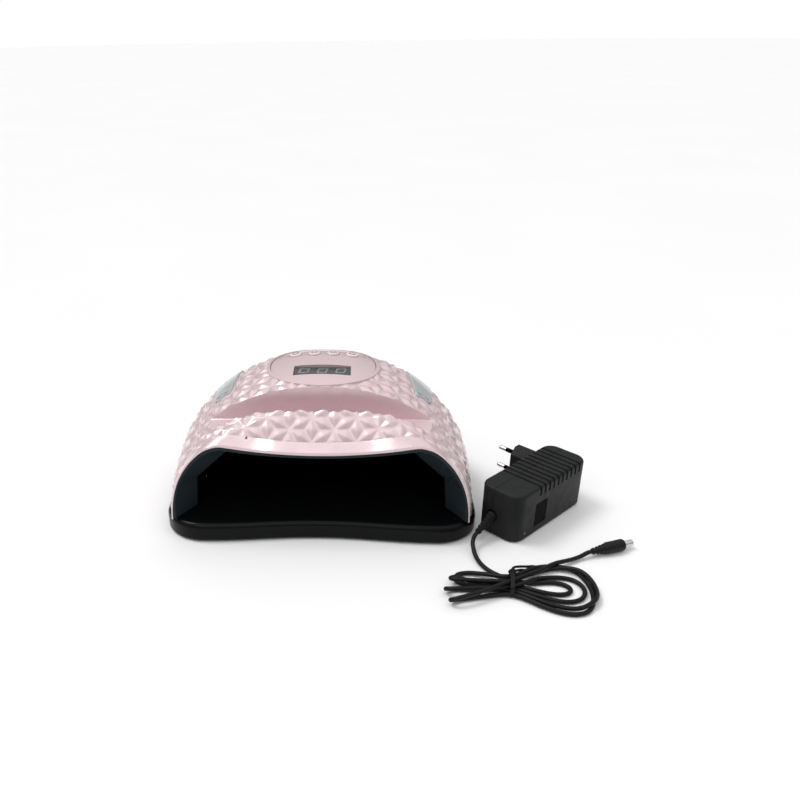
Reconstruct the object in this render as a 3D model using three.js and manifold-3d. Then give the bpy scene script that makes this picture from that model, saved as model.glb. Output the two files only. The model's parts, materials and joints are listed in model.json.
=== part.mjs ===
// UV LED nail lamp on a removable base tray, with its plug-in power adapter and low-voltage lead.
// Millimetres. +Z is up, -Y is the open front, +X is on the right for someone facing that front.
// The origin is on the table, under the middle of the lamp's base tray.

import * as THREE from 'three';
import { mergeVertices } from 'three/addons/utils/BufferGeometryUtils.js';
import Module from 'manifold-3d';

const wasm = await Module();
wasm.setup();

// ---------------------------------------------------------------- driving dimensions

const GAP = 0.3; // clearance kept between pieces that touch in the real product

// Base tray
const TRAY_HALF_WIDTH = 133;
const TRAY_TOP = 17;
const TRAY_BOTTOM = 2;
const TRAY_WALL = 2.6;
const TRAY_REAR_Y = 102;
const TRAY_MIDDLE_Y = 13;
const TRAY_CORNER = 35;
const TRAY_FRONT_Y = -93;
const TRAY_FRONT_HOLLOW = 6.3;
const TRAY_EDGE_ROUND = 5;
const COVER_THICKNESS = 2;
const FOOT_RADIUS = 8;

// Dome of the housing
const SHELL_BASE = TRAY_TOP + 0.4;
const SHELL_TOP = 117.5;
const SHELL_HALF_WIDTH = 131.5;
const SHELL_MIDDLE_Y = 13;
const SHELL_REAR_Y = 100;
const SHELL_FRONT_Y = -95.6;
const FRONT_NARROWING = 0.075;
const CROWN_Y = 25.4;
const CROWN_FRONT_Y = -108.5;
const ARCH_POWER = 2.13;
const ARCH_FRONT_GAIN = 4.6; // how much squarer the arch becomes at the flared front opening
const ARCH_FRONT_POWER = 6;
const CROWN_FRONT_POWER = 2.61;
const CROWN_REAR_POWER = 2.64;
const BROW_Y = -71;
const BROW_HEIGHT = 82.9;
const BROW_SLOPE = 1.25;
const BROW_HOLLOW = 4.9;
const BROW_HALF_WIDTH = 84;
const BROW_BLEND = 6.4;
const WALL = 2.8;

// Faceted relief on the dome: a rhombille tiling whose edge midpoints stand proud
const FACET_PITCH = 21.1;
const FACET_RAISE = 2;
const FACET_SHIFT = [3, 8]; // where the tiling starts, across and along the dome
const SMOOTH_PITCH = 24;
const HOLLOW_PITCH = 40;
const SMOOTH_RISE = 0.8; // of the plain band and pads over the faceted skin's hollows

// Front opening
const MOUTH_Y = -85;
const MOUTH_LEAN = 0.141;
const BAND = { top: 4.6, sides: 9, reach: 125 }; // its depth at the brow and at the side walls
const BEZEL_DEPTH = 24;
const LIP_OFFSET = -0.4; // inner face of the thin lip under the band
const BEZEL_RIM = 2.6; // from the dome's skin to the inner edge of the bezel's front

// Phone slot across the dome
const SLOT_FLOOR = 85;
const SLOT_FRONT_Y = -54;
const SLOT_BACK_Y = -31;
const SLOT_BACK_LEAN = 3.5;

// Oval control panel
const PANEL_Y = 21;
const PANEL_RX = 47;
const PANEL_RY = 44.5;
const COLLAR_WIDTH = 3.2;
const COLLAR_RISE = 1.9;
const PANEL_RISE = 1.2;
const PANEL_THICKNESS = 3;
const PANEL_GAP = 0.5;
const DISPLAY_Y = 2;
const DISPLAY_SIZE = [50, 19];
const WINDOW_TOP = 116;
const BUTTON_Y = 38.5;
const BUTTON_SPACING = 17;
const BUTTON_RADIUS = 5.6;
const BUTTON_TRAVEL = 0.7;
const PCB_HEIGHT = 104;

// Side trim plates on the shoulders
const TRIM_X = 88;
const TRIM_Y = 21;
const TRIM_LENGTH = 54;
const TRIM_FRONT_WIDTH = 17;
const TRIM_REAR_WIDTH = 28;
const TRIM_RISE = 2.1;

// Vault that lines the hand space
const VAULT_FRONT_Y = -61;
const VAULT_REAR_Y = 62;
const VAULT_REAR_SCALE = 0.8;
const VAULT_HALF_FLOOR = 108;
const VAULT_HALF_SHOULDER = 104;
const VAULT_HALF_CEILING = 74;
const VAULT_SHOULDER_Z = 46;
const VAULT_CEILING_Z = 73.5;
const VAULT_WALL = 1.8;
const BOARD_THICKNESS = 1.6;
const LED_RADIUS = 3.2;

// Rear of the housing
const REAR_Y = 60; // everything on the rear wall lies behind this
const REAR_PAD = { halfWidth: 58, bottom: 23, top: 62 };
const VENTS = { count: 9, first: -46, pitch: 8, width: 3.2, bottom: 30, top: 54 };
const JACK_X = 44;
const JACK_FACE_Y = 95.2;
const JACK_Z = 34;
const JACK_RADIUS = 4.6;
const JACK_BORE = 2.9;

// Hand sensor in the rear wall of the hand space
const SENSOR_EYES = { x: 12, z: 24, radius: 2.5 };

// Power adapter, lying on one long side
const ADAPTER_CENTRE = [183.8, -43.1];
const ADAPTER_TURN = Math.PI / 4;
const ADAPTER_LENGTH = 102;
const ADAPTER_DEPTH = 41;
const ADAPTER_HEIGHT = 45;
const ADAPTER_CORNER = 11;
const ADAPTER_EDGE = 3;
const ADAPTER_WALL = 2.4;
const ADAPTER_SPLIT_Y = 5;
const GROOVES = { count: 10, first: -22, pitch: 6.4, width: 2.4, reach: 9 };
const GROOVE_DEPTH = 0.9;
const LABEL = { left: -26, right: -9, bottom: 8, top: 30, gap: 0.6 };
const INDICATOR = { x: -38, z: 7, radius: 1 };
const CORD_EXIT = { y: 5, z: 19, radius: 5.2 };
const NECK_X = 33;
const NECK_DEPTH = 21;
const NECK_HALF = [9, 17.5];
const NECK_CHAMFER = 6;
const PIN_SPACING = 18.4;
const PIN_RADIUS = 2;
const PIN_LENGTH = 19;
const PIN_SLEEVE = 10;

// Low-voltage lead
const CORD_RADIUS = 1.8;
const CORD_SIDES = 8;
const RELIEF_LENGTH = 22;
const HANK_BOTTOM = 0.9;
const HANK_TOP = 11;
const TIE_X = 150;
const TIE_HALF_WIDTH = 2;
const PLUG_ANGLE = THREE.MathUtils.degToRad(20.6);
const PLUG_START = [221.2, -106.5];
const PLUG_RADIUS = 5;
const PLUG_LENGTH = 30;
const PLUG_SLEEVE = 13;
const BARREL_RADIUS = 2.75;
const BARREL_BORE = 1.7;
const BARREL_LENGTH = 8;

// ---------------------------------------------------------------- geometry helpers

const FAR = 400; // size of cutting blocks that only need to be large
const clamp01 = (value) => THREE.MathUtils.clamp(value, 0, 1);

function solid(geometry) {
  const bare = geometry.index ? geometry.toNonIndexed() : geometry.clone();
  bare.deleteAttribute('normal');
  bare.deleteAttribute('uv');
  const merged = mergeVertices(bare, 1e-4);
  return new wasm.Manifold(new wasm.Mesh({
    numProp: 3,
    vertProperties: new Float32Array(merged.attributes.position.array),
    triVerts: new Uint32Array(merged.index.array),
  }));
}

function geometryOf(manifold) {
  const mesh = manifold.getMesh();
  const geometry = new THREE.BufferGeometry();
  geometry.setAttribute('position', new THREE.BufferAttribute(mesh.vertProperties, 3));
  geometry.setIndex(new THREE.BufferAttribute(mesh.triVerts, 1));
  geometry.computeVertexNormals();
  return geometry;
}

// Drops the loose slivers that a cut can leave beside the piece itself.
function largestBody(manifold) {
  return manifold.decompose().reduce((best, body) => (body.volume() > best.volume() ? body : best));
}

function blockGeometry(low, high) {
  const size = high.map((value, axis) => value - low[axis]);
  const geometry = new THREE.BoxGeometry(...size);
  return geometry.translate(...low.map((value, axis) => value + size[axis] / 2));
}

const block = (low, high) => solid(blockGeometry(low, high));

// A cylinder that stands on z = bottom and points up.
function rodGeometry(radius, bottom, top, sides = 24) {
  const geometry = new THREE.CylinderGeometry(radius, radius, top - bottom, sides);
  return geometry.rotateX(Math.PI / 2).translate(0, 0, (bottom + top) / 2);
}

const rod = (radius, bottom, top, sides) => solid(rodGeometry(radius, bottom, top, sides));

// A turned piece: [radius, height] pairs from the lower axis point to the upper one.
function turnedGeometry(profile, sides = 24) {
  const points = profile.map(([radius, height]) => new THREE.Vector2(radius, height));
  return new THREE.LatheGeometry(points, sides).rotateX(Math.PI / 2);
}

function extruded(shape, bottom, top, curveSegments = 12) {
  const geometry = new THREE.ExtrudeGeometry(shape, {
    depth: top - bottom, bevelEnabled: false, curveSegments,
  });
  return geometry.translate(0, 0, bottom);
}

function ovalShape(rx, ry, centreY = 0) {
  return new THREE.Shape().absellipse(0, centreY, rx, ry, 0, Math.PI * 2);
}

function roundedRectangle(width, height, radius) {
  const shape = new THREE.Shape();
  const [x, y] = [width / 2 - radius, height / 2 - radius];
  shape.absarc(x, y, radius, 0, Math.PI / 2);
  shape.absarc(-x, y, radius, Math.PI / 2, Math.PI);
  shape.absarc(-x, -y, radius, Math.PI, Math.PI * 1.5);
  shape.absarc(x, -y, radius, Math.PI * 1.5, Math.PI * 2);
  shape.closePath();
  return shape;
}

// A closed solid between two outlines that have the same number of points.
function loft(first, second) {
  const count = first.length;
  const flat = first.map((point) => new THREE.Vector2(point.x, point.z));
  const caps = THREE.ShapeUtils.triangulateShape(flat, []);
  const index = [];
  for (const [a, b, c] of caps) {
    index.push(a, b, c);
    index.push(count + a, count + c, count + b);
  }
  for (let i = 0; i < count; i++) {
    const next = (i + 1) % count;
    index.push(i, count + i, next);
    index.push(next, count + i, count + next);
  }
  const geometry = new THREE.BufferGeometry().setFromPoints([...first, ...second]);
  geometry.setIndex(index);
  return solid(geometry);
}

// A round tube through a list of points.
function tubeGeometry(points, radius, sides, steps) {
  const curve = new THREE.CatmullRomCurve3(points.map((point) => new THREE.Vector3(...point)));
  const section = new THREE.Shape();
  for (let side = 0; side < sides; side++) {
    const angle = (side / sides) * Math.PI * 2;
    const corner = [radius * Math.cos(angle), radius * Math.sin(angle)];
    if (side === 0) section.moveTo(...corner);
    else section.lineTo(...corner);
  }
  section.closePath();
  return new THREE.ExtrudeGeometry(section, { steps, bevelEnabled: false, extrudePath: curve });
}

// A matrix that stands a piece made along +Z on a point, facing a direction.
function facing(point, direction) {
  const turn = new THREE.Quaternion().setFromUnitVectors(
    new THREE.Vector3(0, 0, 1), direction.clone().normalize());
  return new THREE.Matrix4().compose(point, turn, new THREE.Vector3(1, 1, 1));
}

// ---------------------------------------------------------------- scene graph

const lamp = new THREE.Group();
const adapterGroup = new THREE.Group();
adapterGroup.position.set(ADAPTER_CENTRE[0], ADAPTER_CENTRE[1], 0);
adapterGroup.rotation.z = ADAPTER_TURN;
lamp.add(adapterGroup);

const materialTable = {
  pinkPearl: [0xf2d7dc, 0.28, 0.1],
  blackGloss: [0x17181a, 0.22, 0],
  blackSatin: [0x1d1f21, 0.5, 0],
  blackMatte: [0x1b1c1e, 0.68, 0],
  cordBlack: [0x121314, 0.55, 0],
  rubber: [0x202123, 0.85, 0],
  silverTrim: [0xcfd8d6, 0.32, 0.5],
  whiteKey: [0xf0e6e8, 0.4, 0],
  smokedGlass: [0x0c0d0f, 0.08, 0],
  displayBlack: [0x08090a, 0.35, 0],
  segmentGrey: [0xb9bcbc, 0.45, 0],
  boardGreen: [0x1f5a3a, 0.5, 0],
  boardWhite: [0xe9ebe8, 0.45, 0],
  nickel: [0xc9cbcd, 0.25, 1],
  steel: [0x9da1a5, 0.35, 1],
  copper: [0xb4733f, 0.4, 1],
  indicatorGreen: [0x6fa79a, 0.3, 0],
};

const materials = {};
for (const [name, [color, roughness, metalness]] of Object.entries(materialTable)) {
  materials[name] = new THREE.MeshStandardMaterial({ name, color, roughness, metalness });
}

function addNode(name, shape, material, parent = lamp) {
  const geometry = shape instanceof THREE.BufferGeometry ? shape : geometryOf(shape);
  const mesh = new THREE.Mesh(geometry, materials[material]);
  mesh.name = name;
  parent.add(mesh);
  return mesh;
}

// ---------------------------------------------------------------- dome surface

function domeHalfWidth(y) {
  const rear = clamp01((y - SHELL_MIDDLE_Y) / (SHELL_REAR_Y - SHELL_MIDDLE_Y));
  const front = clamp01((SHELL_MIDDLE_Y - y) / (SHELL_MIDDLE_Y - SHELL_FRONT_Y));
  return SHELL_HALF_WIDTH * Math.sqrt(1 - rear * rear) * (1 - FRONT_NARROWING * front ** 2.5);
}

function crownRise(y) {
  const behind = y > CROWN_Y;
  const reach = clamp01((y - CROWN_Y) / ((behind ? SHELL_REAR_Y : CROWN_FRONT_Y) - CROWN_Y));
  const power = behind ? CROWN_REAR_POWER : CROWN_FRONT_POWER;
  return (SHELL_TOP - SHELL_BASE) * (1 - reach ** power) ** (1 / power);
}

// Height of the smooth dome: an arch along the crown line, blended into the sloping brow at the front.
function domeHeight(x, y) {
  const across = clamp01(Math.abs(x) / Math.max(domeHalfWidth(y), 1e-6));
  const front = clamp01((SHELL_MIDDLE_Y - y) / (SHELL_MIDDLE_Y - SHELL_FRONT_Y));
  const power = ARCH_POWER + ARCH_FRONT_GAIN * front ** ARCH_FRONT_POWER;
  const arch = crownRise(y) * Math.sqrt(1 - across ** power);
  const hollow = BROW_HOLLOW * Math.min(Math.abs(x) / BROW_HALF_WIDTH, 1) ** 2;
  const brow = BROW_HEIGHT - SHELL_BASE + BROW_SLOPE * (y - BROW_Y + hollow);
  const mix = clamp01(0.5 + (0.5 * (brow - arch)) / BROW_BLEND);
  return SHELL_BASE + brow * (1 - mix) + arch * mix - BROW_BLEND * mix * (1 - mix);
}

function domePoint(x, y) {
  return new THREE.Vector3(x, y, domeHeight(x, y));
}

function domeNormal(x, y) {
  const step = 0.5;
  const slopeX = (domeHeight(x + step, y) - domeHeight(x - step, y)) / (2 * step);
  const slopeY = (domeHeight(x, y + step) - domeHeight(x, y - step)) / (2 * step);
  return new THREE.Vector3(-slopeX, -slopeY, 1).normalize();
}

// Follows a path for a distance; past its end the wall carries on straight down.
function walk(path, distance) {
  const steps = 90;
  let here = path(0);
  let left = distance;
  for (let step = 1; step <= steps; step++) {
    const next = path(step / steps);
    const length = here.distanceTo(next);
    if (length >= left) return here.lerp(next, left / length);
    left -= length;
    here = next;
  }
  return here.setZ(here.z - left);
}

const FRONT_LIMIT_Y = -104;
const SHEET = { side: 215, front: 165, rear: 180 }; // how far the sheet reaches from the crown point
const eased = (t) => Math.sin((t * Math.PI) / 2);

function planReach(angle) {
  let [inside, outside] = [0, 2 * SHELL_HALF_WIDTH];
  for (let round = 0; round < 30; round++) {
    const middle = (inside + outside) / 2;
    const [x, y] = [middle * Math.cos(angle), CROWN_Y + middle * Math.sin(angle)];
    const within = y < SHELL_REAR_Y && Math.abs(x) < domeHalfWidth(y);
    if (within) inside = middle;
    else outside = middle;
  }
  return inside;
}

// The relief is laid out on a flat sheet (u, v) that is wrapped over the dome from its crown point.
// Ahead of the crown v runs down the centre line and u across; behind it the sheet fans out.
function wrap(u, v) {
  const side = u < 0 ? -1 : 1;
  if (v > 0) {
    const angle = Math.atan2(v, Math.abs(u));
    const reach = planReach(angle);
    const path = (t) => domePoint(
      side * reach * eased(t) * Math.cos(angle), CROWN_Y + reach * eased(t) * Math.sin(angle));
    return walk(path, Math.hypot(u, v));
  }
  const y = walk((t) => domePoint(0, CROWN_Y + (FRONT_LIMIT_Y - CROWN_Y) * t), -v).y;
  const path = (t) => domePoint(side * domeHalfWidth(y) * eased(t), y);
  return walk(path, Math.abs(u));
}

function wrapNormal(u, v) {
  const step = 0.8;
  const alongU = wrap(u + step, v).sub(wrap(u - step, v));
  const alongV = wrap(u, v + step).sub(wrap(u, v - step));
  return alongU.cross(alongV).normalize();
}

// A closed solid under the wrapped sheet, offset from the smooth dome and raised at edge midpoints.
function domeSolid(pitch, offset, raise) {
  const columnWidth = (pitch * Math.sqrt(3)) / 2;
  const columns = Math.ceil(SHEET.side / columnWidth);
  const rows = { first: -Math.ceil(SHEET.front / pitch), last: Math.ceil(SHEET.rear / pitch) };
  const cache = new Map();
  const lifted = ([u, v], height) => {
    const key = `${u.toFixed(2)} ${v.toFixed(2)}`;
    if (!cache.has(key)) cache.set(key, wrap(u, v).addScaledVector(wrapNormal(u, v), height));
    return cache.get(key);
  };
  const corner = (i, j) => [
    (i + 0.5) * columnWidth + FACET_SHIFT[0], (j + (Math.abs(i) % 2) / 2) * pitch + FACET_SHIFT[1],
  ];
  const middle = (a, b) => [(a[0] + b[0]) / 2, (a[1] + b[1]) / 2];
  const points = [];
  const edges = new Map();
  const addTriangle = (...corners) => {
    points.push(...corners);
    for (let k = 0; k < 3; k++) {
      const [from, to] = [corners[k], corners[(k + 1) % 3]];
      const name = (point) => point.toArray().map((value) => value.toFixed(4)).join(' ');
      const back = `${name(to)}|${name(from)}`;
      if (edges.has(back)) edges.delete(back);
      else edges.set(`${name(from)}|${name(to)}`, [from, to]);
    }
  };
  const addCell = (...corners) => {
    const centre = [0, 1].map((axis) => (corners[0][axis] + corners[1][axis] + corners[2][axis]) / 3);
    const low = lifted(centre, offset);
    for (let k = 0; k < 3; k++) {
      const [from, to] = [corners[k], corners[(k + 1) % 3]];
      const peak = lifted(middle(from, to), offset + raise);
      addTriangle(lifted(from, offset), peak, low);
      addTriangle(peak, lifted(to, offset), low);
    }
  };
  for (let i = -columns; i < columns; i++) {
    const shift = Math.abs(i) % 2;
    for (let j = rows.first; j < rows.last; j++) {
      addCell(corner(i, j), corner(i + 1, j + shift), corner(i, j + 1));
      addCell(corner(i + 1, j + shift), corner(i + 1, j + 1 + shift), corner(i, j + 1));
    }
  }
  const bottom = new THREE.Vector3(0, -60, -FAR);
  for (const [from, to] of [...edges.values()]) points.push(to, from, bottom);
  return solid(new THREE.BufferGeometry().setFromPoints(points));
}

const smoothDomes = new Map();
function smoothDome(offset, pitch = SMOOTH_PITCH) {
  const key = `${offset} ${pitch}`;
  if (!smoothDomes.has(key)) smoothDomes.set(key, domeSolid(pitch, offset, 0));
  return smoothDomes.get(key);
}

// ---------------------------------------------------------------- cutting shapes of the housing

const aboveBase = block([-FAR, -FAR, SHELL_BASE], [FAR, FAR, FAR]);

// The space between two distances behind the leaning plane of the front opening.
function behindMouth(from, to) {
  const geometry = blockGeometry([-FAR, from, -FAR], [FAR, to, FAR]);
  geometry.rotateX(-Math.atan(MOUTH_LEAN));
  return solid(geometry.translate(0, MOUTH_Y, SHELL_BASE));
}

// The plain band round the opening: deeper at the side walls than on the sloping brow.
function bandPrism(overlap) {
  const shape = new THREE.Shape();
  shape.moveTo(-FAR, -1);
  shape.lineTo(FAR, -1);
  shape.lineTo(FAR, BAND.sides + overlap);
  const steps = 12;
  for (let step = steps; step >= -steps; step--) {
    const share = step / steps;
    const depth = BAND.top + (BAND.sides - BAND.top) * Math.abs(share) ** 3;
    shape.lineTo(share * BAND.reach, depth + overlap);
  }
  shape.lineTo(-FAR, BAND.sides + overlap);
  shape.closePath();
  const geometry = extruded(shape, -FAR, FAR);
  geometry.rotateX(-Math.atan(MOUTH_LEAN));
  return solid(geometry.translate(0, MOUTH_Y, SHELL_BASE));
}

function ovalPrism(growth) {
  return solid(extruded(ovalShape(PANEL_RX + growth, PANEL_RY + growth, PANEL_Y), 60, 160, 16));
}

function slotPrism(growth) {
  const top = 160;
  const back = SLOT_BACK_Y + (SLOT_BACK_LEAN * (top - SLOT_FLOOR)) / 30;
  const shape = new THREE.Shape([
    new THREE.Vector2(SLOT_FRONT_Y - growth, SLOT_FLOOR - growth + 2),
    new THREE.Vector2(SLOT_FRONT_Y + 2 - growth, SLOT_FLOOR - growth),
    new THREE.Vector2(SLOT_BACK_Y - 2 + growth, SLOT_FLOOR - growth),
    new THREE.Vector2(SLOT_BACK_Y + growth, SLOT_FLOOR - growth + 2),
    new THREE.Vector2(back + growth, top),
    new THREE.Vector2(SLOT_FRONT_Y - growth, top),
  ]);
  const geometry = extruded(shape, -FAR / 2, FAR / 2);
  // The outline's first axis becomes Y and its second Z, and it is drawn out along X.
  const turn = new THREE.Matrix4().makeBasis(
    new THREE.Vector3(0, 1, 0), new THREE.Vector3(0, 0, 1), new THREE.Vector3(1, 0, 0));
  return solid(geometry.applyMatrix4(turn));
}

function trimPrism(side, inset) {
  const [front, rear] = [TRIM_FRONT_WIDTH / 2 - inset, TRIM_REAR_WIDTH / 2 - inset];
  const half = TRIM_LENGTH / 2 - inset;
  const bend = 4;
  const shape = new THREE.Shape();
  shape.moveTo(-front + bend, -half);
  shape.lineTo(front - bend, -half);
  shape.quadraticCurveTo(front, -half, front + 0.4, -half + bend);
  shape.lineTo(rear - 0.4, half - bend);
  shape.quadraticCurveTo(rear, half, rear - bend, half);
  shape.lineTo(-rear + bend, half);
  shape.quadraticCurveTo(-rear, half, -rear + 0.4, half - bend);
  shape.lineTo(-front - 0.4, -half + bend);
  shape.quadraticCurveTo(-front, -half, -front + bend, -half);
  const geometry = extruded(shape, -20, 20, 4);
  const normal = domeNormal(TRIM_X, TRIM_Y);
  const along = new THREE.Vector3(0, 1, 0).projectOnPlane(normal).normalize();
  const across = new THREE.Vector3().crossVectors(along, normal);
  const frame = new THREE.Matrix4().makeBasis(across, along, normal);
  frame.setPosition(domePoint(TRIM_X, TRIM_Y));
  geometry.applyMatrix4(frame);
  const prism = solid(geometry);
  return side > 0 ? prism : prism.mirror([1, 0, 0]);
}

const buttonSites = [-1.5, -0.5, 0.5, 1.5].map((place) => {
  const x = place * BUTTON_SPACING;
  return { point: domePoint(x, BUTTON_Y), normal: domeNormal(x, BUTTON_Y) };
});

// A turned cutter or piece stood on a button's site.
function atButton({ point, normal }, geometry) {
  return geometry.applyMatrix4(facing(point, normal));
}

// ---------------------------------------------------------------- housing shell

// Replaces the relief inside a region with a smooth skin at its own height.
function smoothOver(body, regionAt, rise) {
  const overlap = 0.05;
  return body.subtract(regionAt(0)).add(smoothDome(rise).intersect(regionAt(overlap)));
}

function makeShell() {
  const collar = (overlap) => ovalPrism(COLLAR_WIDTH + PANEL_GAP + overlap);
  const pad = (overlap) => {
    const half = REAR_PAD.halfWidth + overlap;
    return block([-half, REAR_Y, REAR_PAD.bottom - overlap], [half, FAR, REAR_PAD.top + overlap]);
  };
  let outer = domeSolid(FACET_PITCH, 0, FACET_RAISE);
  outer = smoothOver(outer, bandPrism, SMOOTH_RISE);
  outer = smoothOver(outer, collar, COLLAR_RISE);
  outer = smoothOver(outer, pad, SMOOTH_RISE);
  const hollow = smoothDome(-WALL, HOLLOW_PITCH).subtract(slotPrism(WALL));
  const lipHollow = smoothDome(LIP_OFFSET).intersect(bandPrism(-1.2));
  let shell = outer.intersect(behindMouth(0, FAR)).subtract(hollow).subtract(lipHollow);
  shell = shell.subtract(slotPrism(0)).subtract(ovalPrism(PANEL_GAP));
  for (const side of [-1, 1]) shell = shell.subtract(trimPrism(side, 0));
  for (let vent = 0; vent < VENTS.count; vent++) {
    const x = VENTS.first + vent * VENTS.pitch;
    shell = shell.subtract(block([x, REAR_Y, VENTS.bottom], [x + VENTS.width, FAR, VENTS.top]));
  }
  const jackHole = rodGeometry(JACK_RADIUS + GAP, REAR_Y, FAR, 16).rotateX(-Math.PI / 2);
  shell = shell.subtract(solid(jackHole.translate(JACK_X, 0, JACK_Z)));
  return largestBody(shell.intersect(aboveBase));
}

function makeControlPanel() {
  const underside = smoothDome(PANEL_RISE - PANEL_THICKNESS);
  let panel = smoothDome(PANEL_RISE).intersect(ovalPrism(0)).subtract(underside);
  const [halfX, halfY] = DISPLAY_SIZE.map((size) => size / 2);
  panel = panel.subtract(block([-halfX, DISPLAY_Y - halfY, 90], [halfX, DISPLAY_Y + halfY, 140]));
  for (const site of buttonSites) {
    const hole = atButton(site, rodGeometry(BUTTON_RADIUS + 0.4, -8, 8, 16));
    panel = panel.subtract(solid(hole));
  }
  const postTop = smoothDome(PANEL_RISE - PANEL_THICKNESS + 0.6);
  for (const [x, y] of [[-32, -6], [32, -6], [-30, 50], [30, 50]]) {
    const post = rod(2.5, PCB_HEIGHT + BOARD_THICKNESS + GAP, 125, 6).translate([x, y, 0]);
    panel = panel.add(post.intersect(postTop));
  }
  return panel;
}

addNode('outer_shell', makeShell(), 'pinkPearl');
addNode('control_panel', makeControlPanel(), 'pinkPearl');

for (const [name, side] of [['side_trim_left', -1], ['side_trim_right', 1]]) {
  const trim = smoothDome(TRIM_RISE).intersect(trimPrism(side, 0.45)).subtract(smoothDome(-1));
  addNode(name, trim, 'silverTrim');
}

// ---------------------------------------------------------------- display and buttons

const [windowX, windowY] = DISPLAY_SIZE.map((size) => size / 2 - GAP);
const windowBottom = WINDOW_TOP - 1.2;
addNode('display_window', blockGeometry(
  [-windowX, DISPLAY_Y - windowY, windowBottom], [windowX, DISPLAY_Y + windowY, WINDOW_TOP]),
'smokedGlass');

const digitTop = windowBottom - GAP;
const digitBottom = digitTop - 0.7;
const moduleTop = digitBottom - GAP;
addNode('display_module', blockGeometry(
  [-windowX + 1, DISPLAY_Y - windowY + 1, PCB_HEIGHT + BOARD_THICKNESS + GAP],
  [windowX - 1, DISPLAY_Y + windowY - 1, moduleTop]), 'displayBlack');

// Three digits showing zero, each six bars that lean to the right, standing on one thin film.
function makeDigits() {
  const [halfWide, halfHigh, thick] = [4.4, 6.2, 1.7];
  const lean = new THREE.Matrix4().makeShear(0, 0, 0.16, 0, 0, 0);
  const film = digitBottom + 0.4;
  let digits = block([-21.5, DISPLAY_Y - 7.4, digitBottom], [21.5, DISPLAY_Y + 7.4, film]);
  const addBar = (centreX, x0, y0, x1, y1) => {
    const bar = blockGeometry([x0, y0, film - 0.1], [x1, y1, digitTop]).applyMatrix4(lean);
    digits = digits.add(solid(bar.translate(centreX, DISPLAY_Y, 0)));
  };
  for (const centreX of [-14.5, 0, 14.5]) {
    for (const side of [-1, 1]) {
      const edge = side * halfWide;
      const inner = edge - side * thick;
      const [left, right] = [Math.min(edge, inner), Math.max(edge, inner)];
      addBar(centreX, left, 0.3, right, halfHigh - thick - 0.3);
      addBar(centreX, left, -halfHigh + thick + 0.3, right, -0.3);
      const low = side > 0 ? halfHigh - thick : -halfHigh;
      addBar(centreX, -halfWide + 0.6, low, halfWide - 0.6, low + thick);
    }
  }
  return digits;
}
addNode('display_digits', makeDigits(), 'segmentGrey');

const pcbTop = PCB_HEIGHT + BOARD_THICKNESS;
let controlBoard = solid(extruded(roundedRectangle(76, 68, 16), PCB_HEIGHT, pcbTop, 4)
  .translate(0, PANEL_Y, 0));
buttonSites.forEach((site, place) => {
  const stemFoot = -5.4;
  const cap = turnedGeometry([
    [0, stemFoot], [1.6, stemFoot], [1.6, -1.6], [BUTTON_RADIUS, -1.6],
    [BUTTON_RADIUS, 1.9], [BUTTON_RADIUS - 0.7, 2.5], [2.4, 2.85], [0, 2.9],
  ], 16);
  addNode(`button_cap_${place + 1}`, atButton(site, cap), 'whiteKey');
  // The tact switch that the cap's stem presses is soldered to the board.
  const foot = site.point.clone().addScaledVector(site.normal, stemFoot);
  const switchTop = foot.z - BUTTON_TRAVEL - 0.9;
  controlBoard = controlBoard.add(
    block([foot.x - 3, foot.y - 3, pcbTop - 0.2], [foot.x + 3, foot.y + 3, switchTop]));
});
addNode('control_pcb', controlBoard, 'boardGreen');

// ---------------------------------------------------------------- lining of the hand space

const vaultPoint = (y, x, z, growth) => {
  const scale = THREE.MathUtils.mapLinear(y, VAULT_FRONT_Y, VAULT_REAR_Y, 1, VAULT_REAR_SCALE);
  return new THREE.Vector3(
    scale * x + Math.sign(x) * growth, y, SHELL_BASE + scale * (z - SHELL_BASE) + growth);
};

function vaultOutline(y, growth, floor) {
  const half = [
    [VAULT_HALF_SHOULDER, VAULT_SHOULDER_Z],
    [VAULT_HALF_CEILING, VAULT_CEILING_Z],
  ];
  const right = half.map(([x, z]) => vaultPoint(y, x, z, growth));
  const left = half.map(([x, z]) => vaultPoint(y, -x, z, growth)).reverse();
  const foot = vaultPoint(y, VAULT_HALF_FLOOR, SHELL_BASE, growth);
  foot.z = floor;
  return [foot, ...right, ...left, foot.clone().setX(-foot.x)];
}

const vaultFloor = SHELL_BASE + GAP;
const vaultOuter = loft(
  vaultOutline(VAULT_FRONT_Y, VAULT_WALL, vaultFloor),
  vaultOutline(VAULT_REAR_Y, VAULT_WALL, vaultFloor));
const vaultInner = loft(
  vaultOutline(VAULT_FRONT_Y - 10, 0, -20), vaultOutline(VAULT_REAR_Y - VAULT_WALL, 0, -20));

// A frame on the outside of one flat face of the vault: X towards the rear, Z outwards.
function vaultFace(x0, z0, x1, z1) {
  const corners = [[VAULT_FRONT_Y, x0, z0], [VAULT_FRONT_Y, x1, z1],
    [VAULT_REAR_Y, x0, z0], [VAULT_REAR_Y, x1, z1]];
  const [a, b, c, d] = corners.map(([y, x, z]) => vaultPoint(y, x, z, VAULT_WALL));
  const front = a.clone().add(b).multiplyScalar(0.5);
  const rear = c.clone().add(d).multiplyScalar(0.5);
  const along = rear.clone().sub(front).normalize();
  const outwards = b.clone().sub(a).cross(along).normalize();
  const centre = front.add(rear).multiplyScalar(0.5);
  if (outwards.dot(centre.clone().setY(0).setZ(centre.z - 30)) < 0) outwards.negate();
  const across = new THREE.Vector3().crossVectors(outwards, along);
  return new THREE.Matrix4().makeBasis(along, across, outwards).setPosition(centre);
}

const rearFace = new THREE.Matrix4().makeBasis(
  new THREE.Vector3(1, 0, 0), new THREE.Vector3(0, 0, -1), new THREE.Vector3(0, 1, 0));
rearFace.setPosition(0, VAULT_REAR_Y, 40);

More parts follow.
